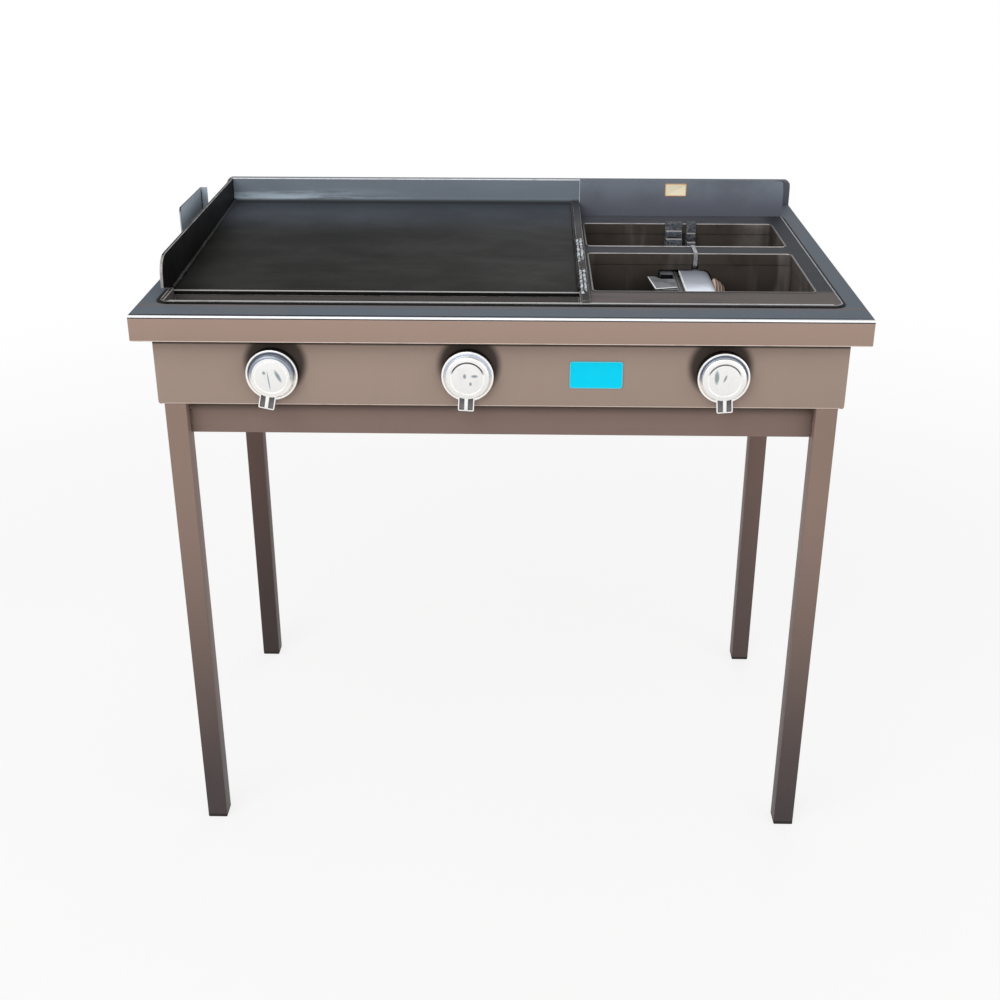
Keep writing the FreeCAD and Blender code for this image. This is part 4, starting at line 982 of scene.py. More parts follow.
# Griddle steels: the bluish tone toward the back is a painted sky reflection, the lit strips are
# painted highlights, the ring's black below dark_below is painted shadow, and the trough's bright
# patch is a painted glint.
PLATE = SeasonedSteel("seasoned_plate", tone(28, 28, 27), tone(39, 39, 38), tone(76, 81, 89),
                      0.04, 0.20, lit=tone(178, 176, 175), lit_before=-0.2213)
SPLASH = OiledSplash("oiled_splash", tone(118, 127, 137), tone(176, 190, 202), tone(52, 54, 57))
GUARD = SeasonedSteel("sooted_guard", tone(18, 18, 18), tone(27, 27, 28), tone(32, 33, 35))
RING = SeasonedSteel("oiled_ring", tone(52, 50, 50), tone(72, 69, 69), tone(66, 68, 72),
                     dark_below=0.8482)
TROUGH = SeasonedSteel("greasy_trough", tone(62, 56, 54), tone(90, 85, 84), tone(84, 80, 80),
                       -0.4, -0.2, rough=0.34, shine=0.06, lit=tone(206, 203, 200),
                       lit_before=-0.2805, oil_glint=(-0.417, -0.259, 0.030, 0.010))
WELL = HeatedPaint("browned_well", tone(38, 34, 31), tone(68, 62, 57), tone(124, 118, 114),
                   shine=0.04, smear=0.85)
BOX = HeatedPaint("fire_box_paint", tone(40, 38, 37), tone(58, 54, 52), tone(86, 78, 72))
# Burner shell: the bright front grade is a painted highlight.
BARREL = BrushedMetal("burner_steel_skin", tone(226, 233, 244), tone(156, 161, 171), Axis.Y, 0.42,
                      0.2, grade_from=-0.140, grade_to=-0.075)
# Burner nose: a warm tint that is partly a painted warm reflection, with painted highlights on its
# rings.
NOSE_TINT = BrushedMetal("nose_tint_and_ring_highlights", tone(246, 226, 210), tone(110, 92, 84), Axis.Y, 0.36, 0.2,
                      ribs=1140.0)
# Shelf and flange: the flange's stripes are painted light and shade of its ribs, and black_from
# starts a painted shadow band.
SHELF = BrushedMetal("shelf_and_flange", tone(118, 120, 124), tone(84, 85, 90), Axis.X, 0.5, 0.1,
                     ribs_from=0.2618, black_from=0.2688)
SHELF_EDGE = FoldedEdge("shelf_edge", tone(250, 250, 250), tone(214, 216, 219), 0.9, 0.0)
BRACKET = CastMetal("burner_casting", tone(104, 107, 112), tone(34, 35, 38), 240, 0.0003, 0.1)
HOOK = CastMetal("hook_steel", tone(92, 98, 105), tone(48, 52, 58), 260, 0.0002, 0.1)
STRAP = CastMetal("strap_steel", tone(160, 162, 166), tone(104, 106, 110), 380, 0.0002, 0.2)
WELD = CastMetal("weld_metal", tone(206, 212, 216), tone(50, 51, 54), 150, 0.0009, 0.1, 0.4)
PIPE = BrushedMetal("galvanised_pipe", tone(160, 163, 166), tone(112, 115, 118), Axis.X, 0.42)
TUBE = BrushedMetal("burner_tube", tone(130, 128, 126), tone(86, 78, 72), Axis.Y, 0.46, 0.7,
                    tone(90, 70, 58))
DIE_CAST = CastMetal("valve_casting", tone(188, 188, 190), tone(120, 120, 122), 700, 0.0002, 0.8)
BRASS = BrushedMetal("turned_brass", tone(214, 180, 110), tone(160, 128, 74), Axis.Y, 0.26)
KNOB_RIM = Plating("knob_rim", tone(250, 249, 247), tone(226, 226, 228))
# Knob side wall: painted dark reflection toward its top. Lever hollow: painted shade in the sunk
# flanks.
KNOB_SIDE = Plating("knob_side", tone(150, 140, 134), tone(14, 14, 16), shaded=1.0, metal=0.3)
KNOB_HOLLOW = Plating("knob_lever_hollow", tone(128, 126, 126), tone(70, 67, 70), 0.700, 0.740,
                      0.9, metal=0.3)
ZINC = BrushedMetal("zinc_screw", tone(196, 198, 200), tone(140, 142, 146), Axis.Z, 0.3)
BLACK = Plastic("black_plastic", tone(20, 19, 20), shine=0.1)
FOOT = Plastic("foot_rubber", tone(52, 47, 48), shine=0.1)
BADGE = Plastic("cyan_badge", tone(0, 205, 238), 0.36, 0.02, 0.1)
BADGE_RIM = Plastic("badge_rim", tone(104, 196, 208), 0.4, 0.05, 0.1)
LABEL = Plastic("cream_label", tone(255, 244, 212), 0.5, 0.0, 0.3)
LABEL_RIM = Plastic("label_rim", tone(240, 190, 140), 0.5, 0.05, 0.1)
# Black stand-in for shade: painted shadow in slots, screw recesses and gaps.
SHADOW_BLACK = Plastic("shadow_black", tone(6, 6, 7), 0.5, 0.0, 0.05)


def only(thing: bpy.types.Object) -> None:
    """Select one object alone and make it the active one."""
    bpy.ops.object.select_all(action="DESELECT")
    thing.select_set(True)
    bpy.context.view_layer.objects.active = thing


@contextmanager
def editing(thing: bpy.types.Object, kind: str = "FACE") -> Iterator[None]:
    """Hold an object in edit mode.

    Args:
        thing: Object to edit.
        kind: What is selected: VERT, EDGE or FACE.

    Yields:
        Nothing; the object is in edit mode until the block ends.
    """
    only(thing)
    bpy.ops.object.mode_set(mode="EDIT")
    bpy.ops.mesh.select_mode(type=kind)
    yield
    bpy.ops.object.mode_set(mode="OBJECT")


def pick(thing: bpy.types.Object, test: Test) -> None:
    """In edit mode, select just the faces that pass a test.

    Args:
        thing: Object being edited.
        test: Takes a face's middle and its normal.
    """
    bpy.ops.mesh.select_all(action="DESELECT")
    bpy.ops.object.mode_set(mode="OBJECT")
    for face in thing.data.polygons:
        face.select = test(face.center, face.normal)
    bpy.ops.object.mode_set(mode="EDIT")


def pick_edges(thing: bpy.types.Object, test: Test) -> int:
    """In edit mode, select just the sharp edges whose two ends pass a test.

    Args:
        thing: Object being edited.
        test: Takes the places of an edge's two ends.

    Returns:
        How many edges are selected.
    """
    bpy.ops.mesh.select_all(action="DESELECT")
    bpy.ops.mesh.edges_select_sharp(sharpness=math.radians(SHARP))
    bpy.ops.object.mode_set(mode="OBJECT")
    mesh = thing.data
    chosen = []
    for edge in mesh.edges:
        ends = [mesh.vertices[index].co for index in edge.vertices]
        if edge.select and test(*ends):
            chosen.append(edge)
        edge.select = False
    for part in (*mesh.polygons, *mesh.vertices):
        part.select = False
    for edge in chosen:
        edge.select = True
        for index in edge.vertices:
            mesh.vertices[index].select = True
    bpy.ops.object.mode_set(mode="EDIT")
    return len(chosen)


def settle(thing: bpy.types.Object, name: str) -> bpy.types.Object:
    """Name an object and put its place into its mesh.

    Args:
        thing: Object to settle.
        name: New name.

    Returns:
        The object.
    """
    only(thing)
    bpy.ops.object.transform_apply(location=True, rotation=True, scale=True)
    thing.name = name
    thing.data.name = name
    return thing


def box_piece(name: str, low: Place, high: Place) -> bpy.types.Object:
    """Box between two corners, as a start for a piece.

    Args:
        name: Name of the piece.
        low: Lowest corner.
        high: Highest corner.

    Returns:
        The object.
    """
    middle = [(a + b) / 2 for a, b in zip(low, high)]
    bpy.ops.object.select_all(action="DESELECT")
    bpy.ops.mesh.primitive_cube_add(size=1, location=middle,
                                    scale=[b - a for a, b in zip(low, high)])
    return settle(bpy.context.object, name)


def frame_piece(name: str, low: Place, high: tuple[float, float], corner: float, wide: float,
                tall: float) -> bpy.types.Object:
    """Flat frame with rounded corners, lying on a level.

    Args:
        name: Name of the piece.
        low: Lowest corner of its outline.
        high: The corner across from it, seen from above.
        corner: Radius of the corners.
        wide: Width of the frame's bars.
        tall: Its thickness, upward.

    Returns:
        The object.
    """
    bpy.ops.object.select_all(action="DESELECT")
    bpy.ops.mesh.primitive_plane_add(
        size=1, location=((low[0] + high[0]) / 2, (low[1] + high[1]) / 2, low[2]))
    bpy.context.object.scale = (high[0] - low[0], high[1] - low[1], 1)
    thing = settle(bpy.context.object, name)
    with editing(thing, "VERT"):
        bpy.ops.mesh.select_all(action="SELECT")
        bpy.ops.mesh.bevel(offset=corner, offset_type="OFFSET", segments=8, affect="VERTICES")
    with editing(thing):
        bpy.ops.mesh.select_all(action="SELECT")
        bpy.ops.mesh.inset(thickness=wide, use_even_offset=True)
        bpy.ops.mesh.delete(type="FACE")
    return apply(thing, "SOLIDIFY", thickness=tall, offset=1.0)


def strip_piece(name: str, start: tuple[float, float], end: tuple[float, float], wide: float,
                level: float, thick: float = 0.0003) -> bpy.types.Object:
    """Thin flat strip between two points, on a level.

    Args:
        name: Name of the strip.
        start: One end, from above.
        end: The other end.
        wide: Its width.
        level: Height of its underside.
        thick: Its thickness.

    Returns:
        The strip, not dressed.
    """
    along = Vector((end[0] - start[0], end[1] - start[1], 0))
    thing = box_piece(name, (-along.length / 2, -wide / 2, 0), (along.length / 2, wide / 2, thick))
    soften(thing, thick / 3)
    turn = Matrix.Rotation(math.atan2(along.y, along.x), 4, "Z")
    middle = ((start[0] + end[0]) / 2, (start[1] + end[1]) / 2, level)
    thing.matrix_world = Matrix.Translation(middle) @ turn
    return settle(thing, name)


def always(*_: Any) -> bool:
    """Pass every edge or face."""
    return True


def soften(thing: bpy.types.Object, width: float, edge: Finish | None = None, segments: int = 2,
           test: Test = always, clamp: bool = True) -> bpy.types.Object:
    """Round the sharp edges that pass a test, and give the new faces a finish of their own.

    Args:
        thing: Object to work on.
        width: Width of the rounding, in metres.
        edge: Finish of the rounded faces, or None to keep the piece's.
        segments: Faces across the rounding.
        test: Takes the places of an edge's two ends.
        clamp: Whether the rounding stops short of its neighbours.

    Returns:
        The object.
    """
    if not thing.data.materials:
        thing.data.materials.append(BLACK.material())
    with editing(thing, "EDGE"):
        if pick_edges(thing, test):
            slot = -1
            if edge:
                thing.data.materials.append(edge.material())
                slot = len(thing.data.materials) - 1
            bpy.ops.mesh.bevel(offset=width, segments=segments, affect="EDGES",
                               clamp_overlap=clamp, harden_normals=False, material=slot)
    return thing


def cover_picked(thing: bpy.types.Object, finish: Finish) -> None:
    """In edit mode, give the selected faces a finish of their own."""
    thing.data.materials.append(finish.material())
    thing.active_material_index = len(thing.data.materials) - 1
    bpy.ops.object.material_slot_assign()


def paint_faces(thing: bpy.types.Object, finish: Finish, test: Test) -> None:
    """Give the faces that pass a test a finish of their own.

    Args:
        thing: Object to work on.
        finish: Finish of those faces.
        test: Takes a face's middle and its normal.
    """
    if not thing.data.materials:
        thing.data.materials.append(BLACK.material())
    with editing(thing):
        pick(thing, test)
        cover_picked(thing, finish)


def frame_front(thing: bpy.types.Object, finish: Finish, rim: tuple[float, float],
                step: tuple[float, float] | None = None) -> None:
    """Set off a rim round the front faces and give what it encloses a finish of its own.

    Args:
        thing: Object to work on, with its first finish already there.
        finish: Finish inside the rim.
        rim: The rim's width, and how far what it encloses stands out or, below 0, is sunk.
        step: The same for a second step inside it.
    """
    with editing(thing):
        pick(thing, lambda middle, normal: normal.y < -FACING)
        bpy.ops.mesh.inset(thickness=rim[0], depth=rim[1])
        cover_picked(thing, finish)
        if step:
            bpy.ops.mesh.inset(thickness=step[0], depth=step[1])


def turned(name: str, profile: Sequence[tuple[float, float]], axis: Axis, middle: Place,
           steps: int) -> bpy.types.Object:
    """Piece turned about an axis, drawn ring by ring, its two ends filled.

    Args:
        name: Name of the piece.
        profile: Radius and distance along the axis of each ring.
        axis: Direction of the axis.
        middle: Point on the axis that distances are counted from.
        steps: Faces round the piece.

    Returns:
        The object.
    """
    bpy.ops.object.select_all(action="DESELECT")
    radius, along = profile[0]
    bpy.ops.mesh.primitive_circle_add(vertices=steps, radius=radius, location=(0, 0, along),
                                      fill_type="NGON")
    thing = settle(bpy.context.object, name)
    with editing(thing, "EDGE"):
        bpy.ops.mesh.select_all(action="SELECT")
        for next_radius, next_along in profile[1:]:
            bpy.ops.mesh.extrude_region_move(
                TRANSFORM_OT_translate={"value": (0, 0, next_along - along)})
            ratio = next_radius / radius
            bpy.ops.transform.resize(value=(ratio, ratio, 1), center_override=(0, 0, next_along))
            radius, along = next_radius, next_along
        bpy.ops.mesh.select_all(action="SELECT")
        bpy.ops.mesh.remove_doubles(threshold=MERGE / 10)
        bpy.ops.mesh.normals_make_consistent(inside=False)
    if axis is Axis.X:
        thing.matrix_world = Matrix.Rotation(math.pi / 2, 4, "Y")
    elif axis is Axis.Y:
        thing.matrix_world = Matrix.Rotation(-math.pi / 2, 4, "X")
    thing.location = middle
    return settle(thing, name)


def merged(name: str, things: Sequence[bpy.types.Object]) -> bpy.types.Object:
    """Join objects into one.

    Args:
        name: Name of the joined piece.
        things: Objects to join.

    Returns:
        The object.
    """
    only(things[0])
    for thing in things:
        thing.select_set(True)
    bpy.ops.object.join()
    return settle(bpy.context.object, name)


def copy_of(thing: bpy.types.Object, name: str) -> bpy.types.Object:
    """Copy an object with a mesh of its own.

    Args:
        thing: Object to copy.
        name: Name of the copy.

    Returns:
        The copy.
    """
    twin = bpy.data.objects.new(name, thing.data.copy())
    bpy.context.scene.collection.objects.link(twin)
    return settle(twin, name)


def copies(thing: bpy.types.Object, places: Sequence[Place]) -> list[bpy.types.Object]:
    """Copy an object to each of some places and remove the first one.

    Args:
        thing: Object at the origin.
        places: Where its copies go.

    Returns:
        The copies.
    """
    twins = []
    for place in places:
        twin = copy_of(thing, thing.name)
        twin.location = place
        twins.append(settle(twin, thing.name))
    bpy.data.objects.remove(thing)
    return twins


def apply(thing: bpy.types.Object, kind: str, **settings: Any) -> bpy.types.Object:
    """Add a modifier and apply it.

    Args:
        thing: Object to work on.
        kind: Modifier type.
        settings: The modifier's settings.

    Returns:
        The object.
    """
    only(thing)
    modifier = thing.modifiers.new(kind.title(), kind)
    for key, value in settings.items():
        setattr(modifier, key, value)
    bpy.ops.object.modifier_apply(modifier=modifier.name)
    return thing


@dataclass
class Bench:
    """Shared steps of every sub-assembly: carry, dress and report pieces."""

    body: str = ROOT
    made: list[str] = field(default_factory=list)

    def dress(self, thing: bpy.types.Object, finish: Finish, slot: str, body: str | None = None,
              stands_for: Sequence[str] = (), smooth: float = 35.0) -> bpy.types.Object:
        """Give a piece its finish and the body it moves with.

        Args:
            thing: Piece.
            finish: Finish of the faces that have none yet.
            slot: The record's material slot; not used.
            body: Body that it rides on, or None for this assembly's.
            stands_for: Nodes that it replaces.
            smooth: Angle up to which faces shade as one, in degrees.

        Returns:
            The piece.
        """
        if thing.data.materials:
            thing.data.materials[0] = finish.material()
        else:
            thing.data.materials.append(finish.material())
        only(thing)
        bpy.ops.object.shade_smooth_by_angle(angle=math.radians(smooth))
        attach(thing, body or self.body)
        if stands_for:
            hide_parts(*stands_for)
        self.made.append(thing.name)
        LOG.info("%s: %s, %d faces", type(self).__name__, thing.name, len(thing.data.polygons))
        return thing

    def carried(self, node: str) -> bpy.types.Object:
        """Copy a node's shape with its triangles merged into whole faces.

        Args:
            node: Name of the node.

        Returns:
            The copy, without a finish.
        """
        twin = copy_of(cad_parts[node], f"{node}_sheet")
        twin.data.materials.clear()
        twin.data.materials.append(BLACK.material())
        for key in [name for name in twin.keys() if name.startswith("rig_")]:
            del twin[key]
        with editing(twin):
            bpy.ops.mesh.select_all(action="SELECT")
            bpy.ops.mesh.customdata_custom_splitnormals_clear()
            bpy.ops.mesh.remove_doubles(threshold=MERGE)
            bpy.ops.mesh.dissolve_limited(angle_limit=math.radians(FLAT))
        return twin

    def folded(self, node: str, finish: Finish, slot: str, width: float = 0.0006,
               edge: Finish | None = None, segments: int = 2, body: str | None = None,
               test: Test = always) -> bpy.types.Object:
        """Carry a node over with its edges rounded.

        Args:
            node: Name of the node.
            finish: Finish of its faces.
            slot: The record's material slot.
            width: Width of the rounding, in metres.
            edge: Finish of the rounded edges.
            segments: Faces across a rounding.
            body: Body that it rides on.
            test: Takes the places of an edge's two ends.

        Returns:
            The piece.
        """
        thing = soften(self.carried(node), width, edge, segments, test)
        return self.dress(thing, finish, slot, body, [node])

    def bead(self, name: str, start: Place, end: Place, radius: float, pitch: float,
             seed: int) -> bpy.types.Object:
        """Weld bead: a row of overlapping lumps that wander a little.

        Args:
            name: Name of the bead.
            start: One end.
            end: The other end.
            radius: Radius of a lump, in metres.
            pitch: Step from lump to lump, in metres.
            seed: Start of the random draws.

        Returns:
            The bead, not dressed.
        """
        draw = random.Random(seed)
        start_point, end_point = Vector(start), Vector(end)
        count = max(2, int((end_point - start_point).length / pitch))
        bpy.ops.object.select_all(action="DESELECT")
        bpy.ops.mesh.primitive_uv_sphere_add(segments=10, ring_count=6, radius=1)
        lump = bpy.context.object
        lumps = []
        for step in range(count + 1):
            twin = bpy.data.objects.new(f"{name}_lump", lump.data.copy())
            bpy.context.scene.collection.objects.link(twin)
            wander = Vector([draw.uniform(-1, 1) * radius * 0.18 for _ in range(3)])
            twin.location = start_point.lerp(end_point, step / count) + wander
            size = radius * draw.uniform(0.8, 1.15)
            twin.scale = (size, size * draw.uniform(0.8, 1.3), size * draw.uniform(0.75, 1.0))
            lumps.append(twin)
        bpy.data.objects.remove(lump)
        return merged(name, lumps)


@dataclass
class Underframe(Bench):
    """Legs, feet and rails."""

    fold: float = 0.0014
    foot_edge: float = 0.0008
    weld: float = 0.0022
    weld_inward: float = 0.00088
    weld_clear: float = 0.003
    weld_pitch: float = 0.0026
    first_seed: int = 3

    def build(self) -> None:
        """Make and dress the pieces."""
        for side in ("left", "right"):
            self.folded(f"leg_front_{side}", LEG, "leg_paint", self.fold, segments=3)
            self.folded(f"leg_rear_{side}", REAR_LEG if side == "left" else FAR_LEG, "leg_paint",
                        self.fold, segments=3)
            for end in ("front", "rear"):
                self.folded(f"foot_{end}_{side}", FOOT, "foot_plastic", self.foot_edge)
        for place in ("front", "rear", "left", "right"):
            self.folded(f"rail_{place}", RAIL, "leg_paint", self.fold, segments=3)
        self.rail_welds()

    def rail_welds(self) -> None:
        """Upright weld beads where the front and rear rails meet the legs."""
        for place in ("front", "rear"):
            low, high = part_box(f"rail_{place}")
            face = low.y if place == "front" else high.y
            for index, x in enumerate((low.x + self.weld_inward, high.x - self.weld_inward)):
                bead = self.bead(f"rail_weld_{place}_{index}", (x, face, low.z + self.weld_clear),
                                 (x, face, high.z - self.weld_clear), self.weld, self.weld_pitch,
                                 self.first_seed + index)
                self.dress(bead, REAR_LEG, "leg_paint", smooth=60)


@dataclass
class Top(Bench):
    """Worktop and the bracket on its left edge."""

    fold: float = 0.0042
    corner: float = 0.0016
    hem: float = 0.0017
    bend: float = 0.0008
    cut_foot: float = 0.004
    cut_reach: float = 0.0026
    slot_out: tuple[float, float] = (0.0024, 0.0029)
    slot_back: tuple[float, float] = (0.0086, 0.0052)
    slot_foot: float = 0.020
    slot_head: float = 0.006
    slot_edge: float = 0.0002

    def build(self) -> None:
        """Make and dress the pieces."""
        low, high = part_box("worktop")
        fold_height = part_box("griddle_ring")[0].z

        def rim(point: Vector) -> bool:
            """Whether a point is on the worktop's outline."""
            return (min(point.x - low.x, high.x - point.x) < NEAR
                    or min(point.y - low.y, high.y - point.y) < NEAR)

        def level_fold(first: Vector, second: Vector) -> bool:
            """Whether an edge is a fold between the top and the front or side aprons."""
            level = max(abs(first.z - fold_height), abs(second.z - fold_height)) < NEAR
            return level and rim(first) and rim(second)

        def upper(first: Vector, second: Vector) -> bool:
            """Whether an edge is on the upstand along the back."""
            return min(first.z, second.z) > fold_height + 10 * NEAR

        def hem(first: Vector, second: Vector) -> bool:
            """Whether an edge is at the bottom of the apron's outside."""
            return max(first.z, second.z) < low.z + NEAR and rim(first) and rim(second)

        top = self.carried("worktop")
        # Painted highlights: the bright hem and fold, with painted dark lines beside the fold's
        # highlight.
        soften(top, self.hem, HEM_EDGE, 2, hem)
        soften(top, self.fold, WHITE_EDGE, 6, level_fold, clamp=False)
        soften(top, self.corner, DARK_EDGE, 3, upper)
        self.dress(top, APRON, "worktop_paint", stands_for=["worktop"])
        self.bracket()

    def bracket(self) -> None:
        """Upright bracket with thin bright bends as painted highlights, cut edges painted dark as
        shadow, and a black box as the painted shadow in the slot at its rear.
        """
        low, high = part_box("side_bracket")
        thing = soften(self.carried("side_bracket"), self.bend, STEEL_EDGE)
        paint_faces(thing, GAP, lambda middle, normal: (normal.z > LEANING or normal.y < -LEANING)
                    and middle.z > low.z + self.cut_foot and middle.x < low.x + self.cut_reach)
        self.dress(thing, SLATE, "worktop_paint", stands_for=["side_bracket"])
        (near, far), (front, rear) = self.slot_out, self.slot_back
        slot = box_piece("bracket_slot", (low.x + near, high.y - front, low.z + self.slot_foot),
                         (low.x + far, high.y - rear, high.z - self.slot_head))
        self.dress(soften(slot, self.slot_edge), SHADOW_BLACK, "worktop_paint")


@dataclass
class Skirt(Bench):
    """Panels round the body, their screws, the blank badge."""

    hem: float = 0.0019
    side_edge: float = 0.0005
    rear_edge: float = 0.0004
    screw_head: float = 0.004
    screw_dome: tuple[tuple[float, float], ...] = (
        (0.5, -0.0035), (0.5, -0.002), (1.0, -0.002), (0.96, -0.0012), (0.75, -0.0005),
        (0.4, -0.0001), (0.025, 0.0))
    recess: tuple[float, float] = (0.0044, 0.0009)
    recess_ends: tuple[float, float] = (-0.0006, 0.00002)
    badge_rim: tuple[float, float] = (0.001125, 0.0)
    badge_step: tuple[float, float] = (0.0005, -0.0004)
    badge_edge: float = 0.0004

    def build(self) -> None:
        """Make and dress the pieces."""
        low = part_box("control_panel")[0]

        def hem(first: Vector, second: Vector) -> bool:
            """Whether an edge is at the bottom of the panel's front."""
            return max(first.z, second.z) < low.z + NEAR and max(first.y, second.y) < low.y + NEAR

        panel = self.carried("control_panel")
        # Painted highlight: a bright line along the panel's bottom hem.
        soften(panel, self.hem, TAUPE_EDGE, 3, hem, clamp=False)
        self.dress(panel, FRONT, "panel_paint", stands_for=["control_panel"])
        for side in ("left", "right"):
            self.folded(f"side_panel_{side}", TAUPE, "panel_paint", self.side_edge, TAUPE_EDGE)
        self.folded("rear_panel", TAUPE, "panel_paint", self.rear_edge)
        self.screws()
        self.badge()

    def screws(self) -> None:
        """Domed screw heads with a cross recess on the rear panel, the recess filled with black
        painted shade.
        """
        low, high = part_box("panel_screws")
        head = self.screw_head
        rows = [low.z + head + step * (high.z - low.z - 2 * head) / 2 for step in range(3)]
        places = [(x, high.y, z) for x in (low.x + head, high.x - head) for z in rows]
        dome = turned("screw_dome", [(head * share, out) for share, out in self.screw_dome],
                      Axis.Y, (0, 0, 0), 24)
        self.dress(merged("screw_heads", copies(dome, places)), ZINC, "screw_steel",
                   stands_for=["panel_screws"])
        back, front = self.recess_ends
        cross = [box_piece("recess", (-wide / 2, back, -tall / 2), (wide / 2, front, tall / 2))
                 for wide, tall in (self.recess, self.recess[::-1])]
        self.dress(merged("screw_recess_shade", copies(merged("recess_cross", cross), places)), SHADOW_BLACK,
                   "screw_steel")

    def badge(self) -> None:
        """Blank cyan plate with a pale rim, and a raised inner face."""
        thing = self.carried("blank_badge")
        frame_front(thing, BADGE, self.badge_rim, self.badge_step)
        soften(thing, self.badge_edge)
        self.dress(thing, BADGE_RIM, "badge_plastic", stands_for=["blank_badge"])


@dataclass
class Griddle(Bench):
    """Ring, plate, trough, guard, splash, divider and fire box, their welds, and the painted edge
    shadow and highlights round the top.
    """

    edge: float = 0.0006
    guard_edge: float = 0.0009
    upper_edge: float = 0.0012
    box_edge: float = 0.0005
    plate_edge: float = 0.0010
    lip: float = 0.004
    front_top: float = 0.010
    weld: float = 0.0026
    weld_start: float = 0.004
    weld_lift: float = 0.001
    tacks: tuple[tuple[float, float], ...] = (
        (0.031, 0.060), (0.098, 0.034), (0.181, 0.064), (0.252, 0.036))
    tack_rows: tuple[float, ...] = (0.0018, 0.0072)
    tack_shift: float = 0.006
    tack_pitch: float = 0.0036
    tack_size: float = 0.85
    tack_seed: int = 20
    row_seeds: int = 7
    left_bead: tuple[float, float, float, int] = (0.001, 0.002, 0.0042, 11)
    right_bead: tuple[float, float, float, int] = (0.001, 0.004, 0.0044, 12)
    fillet_left: float = 0.003
    fillet_in: float = 0.0002
    fillet_hollow: float = 0.12
    bar_foot: float = 0.004
    fillet: float = 0.008
    edge_shadow: float = 0.0056
    edge_shadow_under: float = 0.003
    edge_shadow_thick: float = 0.0011
    corner: float = 0.014
    hem: float = 0.0048
    highlight_sides: float = 0.002016
    highlight_thick: tuple[float, float] = (0.0005, 0.0007)
    highlight_clear: float = 0.0002
    highlight_dark_end: float = 0.012

    def build(self) -> None:
        """Make and dress the pieces."""
        # Painted highlight on the ring's edges.
        self.folded("griddle_ring", RING, "griddle_steel", self.edge, LIT_EDGE)
        self.plate()
        self.folded("grease_trough", TROUGH, "griddle_steel", self.edge, STEEL_EDGE)
        guard = soften(self.carried("guard_left"), self.guard_edge, STEEL_EDGE)
        # Painted highlight: the guard's front faces take the bright edge finish.
        paint_faces(guard, STEEL_EDGE, lambda middle, normal: normal.y < -SIDEWAYS)
        self.dress(guard, GUARD, "griddle_steel", stands_for=["guard_left"])
        self.folded("splash_left", SPLASH, "griddle_steel", self.upper_edge, SPLASH_EDGE,
                    test=self.top_rim)
        self.folded("divider_bar", RING, "griddle_steel", self.upper_edge, DARK_EDGE)
        self.folded("fire_box", BOX, "well_paint", self.box_edge)
        self.plate_beads()
        self.divider_tacks()
        self.edge_shadow_and_highlights()

    def plate(self) -> None:
        """Thick plate with its front face painted black as shadow; its finish paints a highlight
        along the edge above it.
        """
        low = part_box("griddle_plate")[0]
        thing = self.carried("griddle_plate")
        soften(thing, self.plate_edge, STEEL_EDGE, 2, lambda first, second: min(
            first.y, second.y) > low.y + self.lip)
        paint_faces(thing, GAP, lambda middle, normal: normal.y < -FACING)
        self.dress(thing, PLATE, "griddle_steel", stands_for=["griddle_plate"])

    def top_rim(self, first: Vector, second: Vector) -> bool:
        """Whether an edge is at the top of the left splash."""
        return min(first.z, second.z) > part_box("splash_left")[1].z - NEAR

    def plate_beads(self) -> None:
        """Beads at the plate's two sides and the fillet at the splash's foot."""
        low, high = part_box("griddle_plate")
        front, rear = low.y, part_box("splash_left")[0].y
        foot, head = low.z + self.front_top + self.weld_lift, high.z + self.weld_lift
        beads = []
        for name, side, way, spec in (("left", low.x, 1, self.left_bead),
                                      ("right", high.x, -1, self.right_bead)):
            inset, stop, pitch, seed = spec
            x = side + way * inset
            beads.append(self.bead(f"weld_bead_{name}", (x, front + self.weld_start, foot),
                                   (x, rear - stop, head), self.weld, pitch, seed))
        self.dress(merged("plate_weld_beads", beads), RING, "weld_steel",
                   stands_for=["plate_welds"], smooth=LUMPY)
        self.splash_fillet(low.x + self.fillet_left, high.x - self.right_bead[0], rear, high.z)

    def divider_tacks(self) -> None:
        """Short bright tacks in two rows along the divider."""
        low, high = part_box("divider_bar")
        slope = (high.z - low.z - self.bar_foot) / (high.y - low.y)
        spots = []
        for index, (start, length) in enumerate(self.tacks):
            height = low.z + self.bar_foot + slope * start
            for row, aside in enumerate(self.tack_rows):
                near = low.y + start + row * self.tack_shift
                spots.append(self.bead(
                    f"tack_{index}_{row}", (low.x + aside, near, height),
                    (low.x + aside, near + length, height + slope * length),
                    self.weld * self.tack_size, self.tack_pitch,
                    self.tack_seed + index + row * self.row_seeds))
        self.dress(merged("divider_tacks", spots), WELD, "weld_steel", smooth=LUMPY)

    def splash_fillet(self, left: float, right: float, back: float, level: float) -> None:
        """Hollow fillet where the plate meets the splash.

        Args:
            left: Left end.
            right: Right end.
            back: Front face of the splash.
            level: Height of the plate there.
        """
        size = self.fillet
        strip = box_piece("splash_fillet", (left, back - size, level - size * 0.06),
                          (right, back + self.fillet_in, level + size))
        with editing(strip, "EDGE"):
            pick_edges(strip, lambda a, b: max(a.y, b.y) < back - size + MERGE
                       and min(a.z, b.z) > level + size - MERGE)
            bpy.ops.mesh.bevel(offset=size * 0.98, segments=7, profile=self.fillet_hollow,
                               affect="EDGES", clamp_overlap=False)
        self.dress(strip, SPLASH, "griddle_steel")

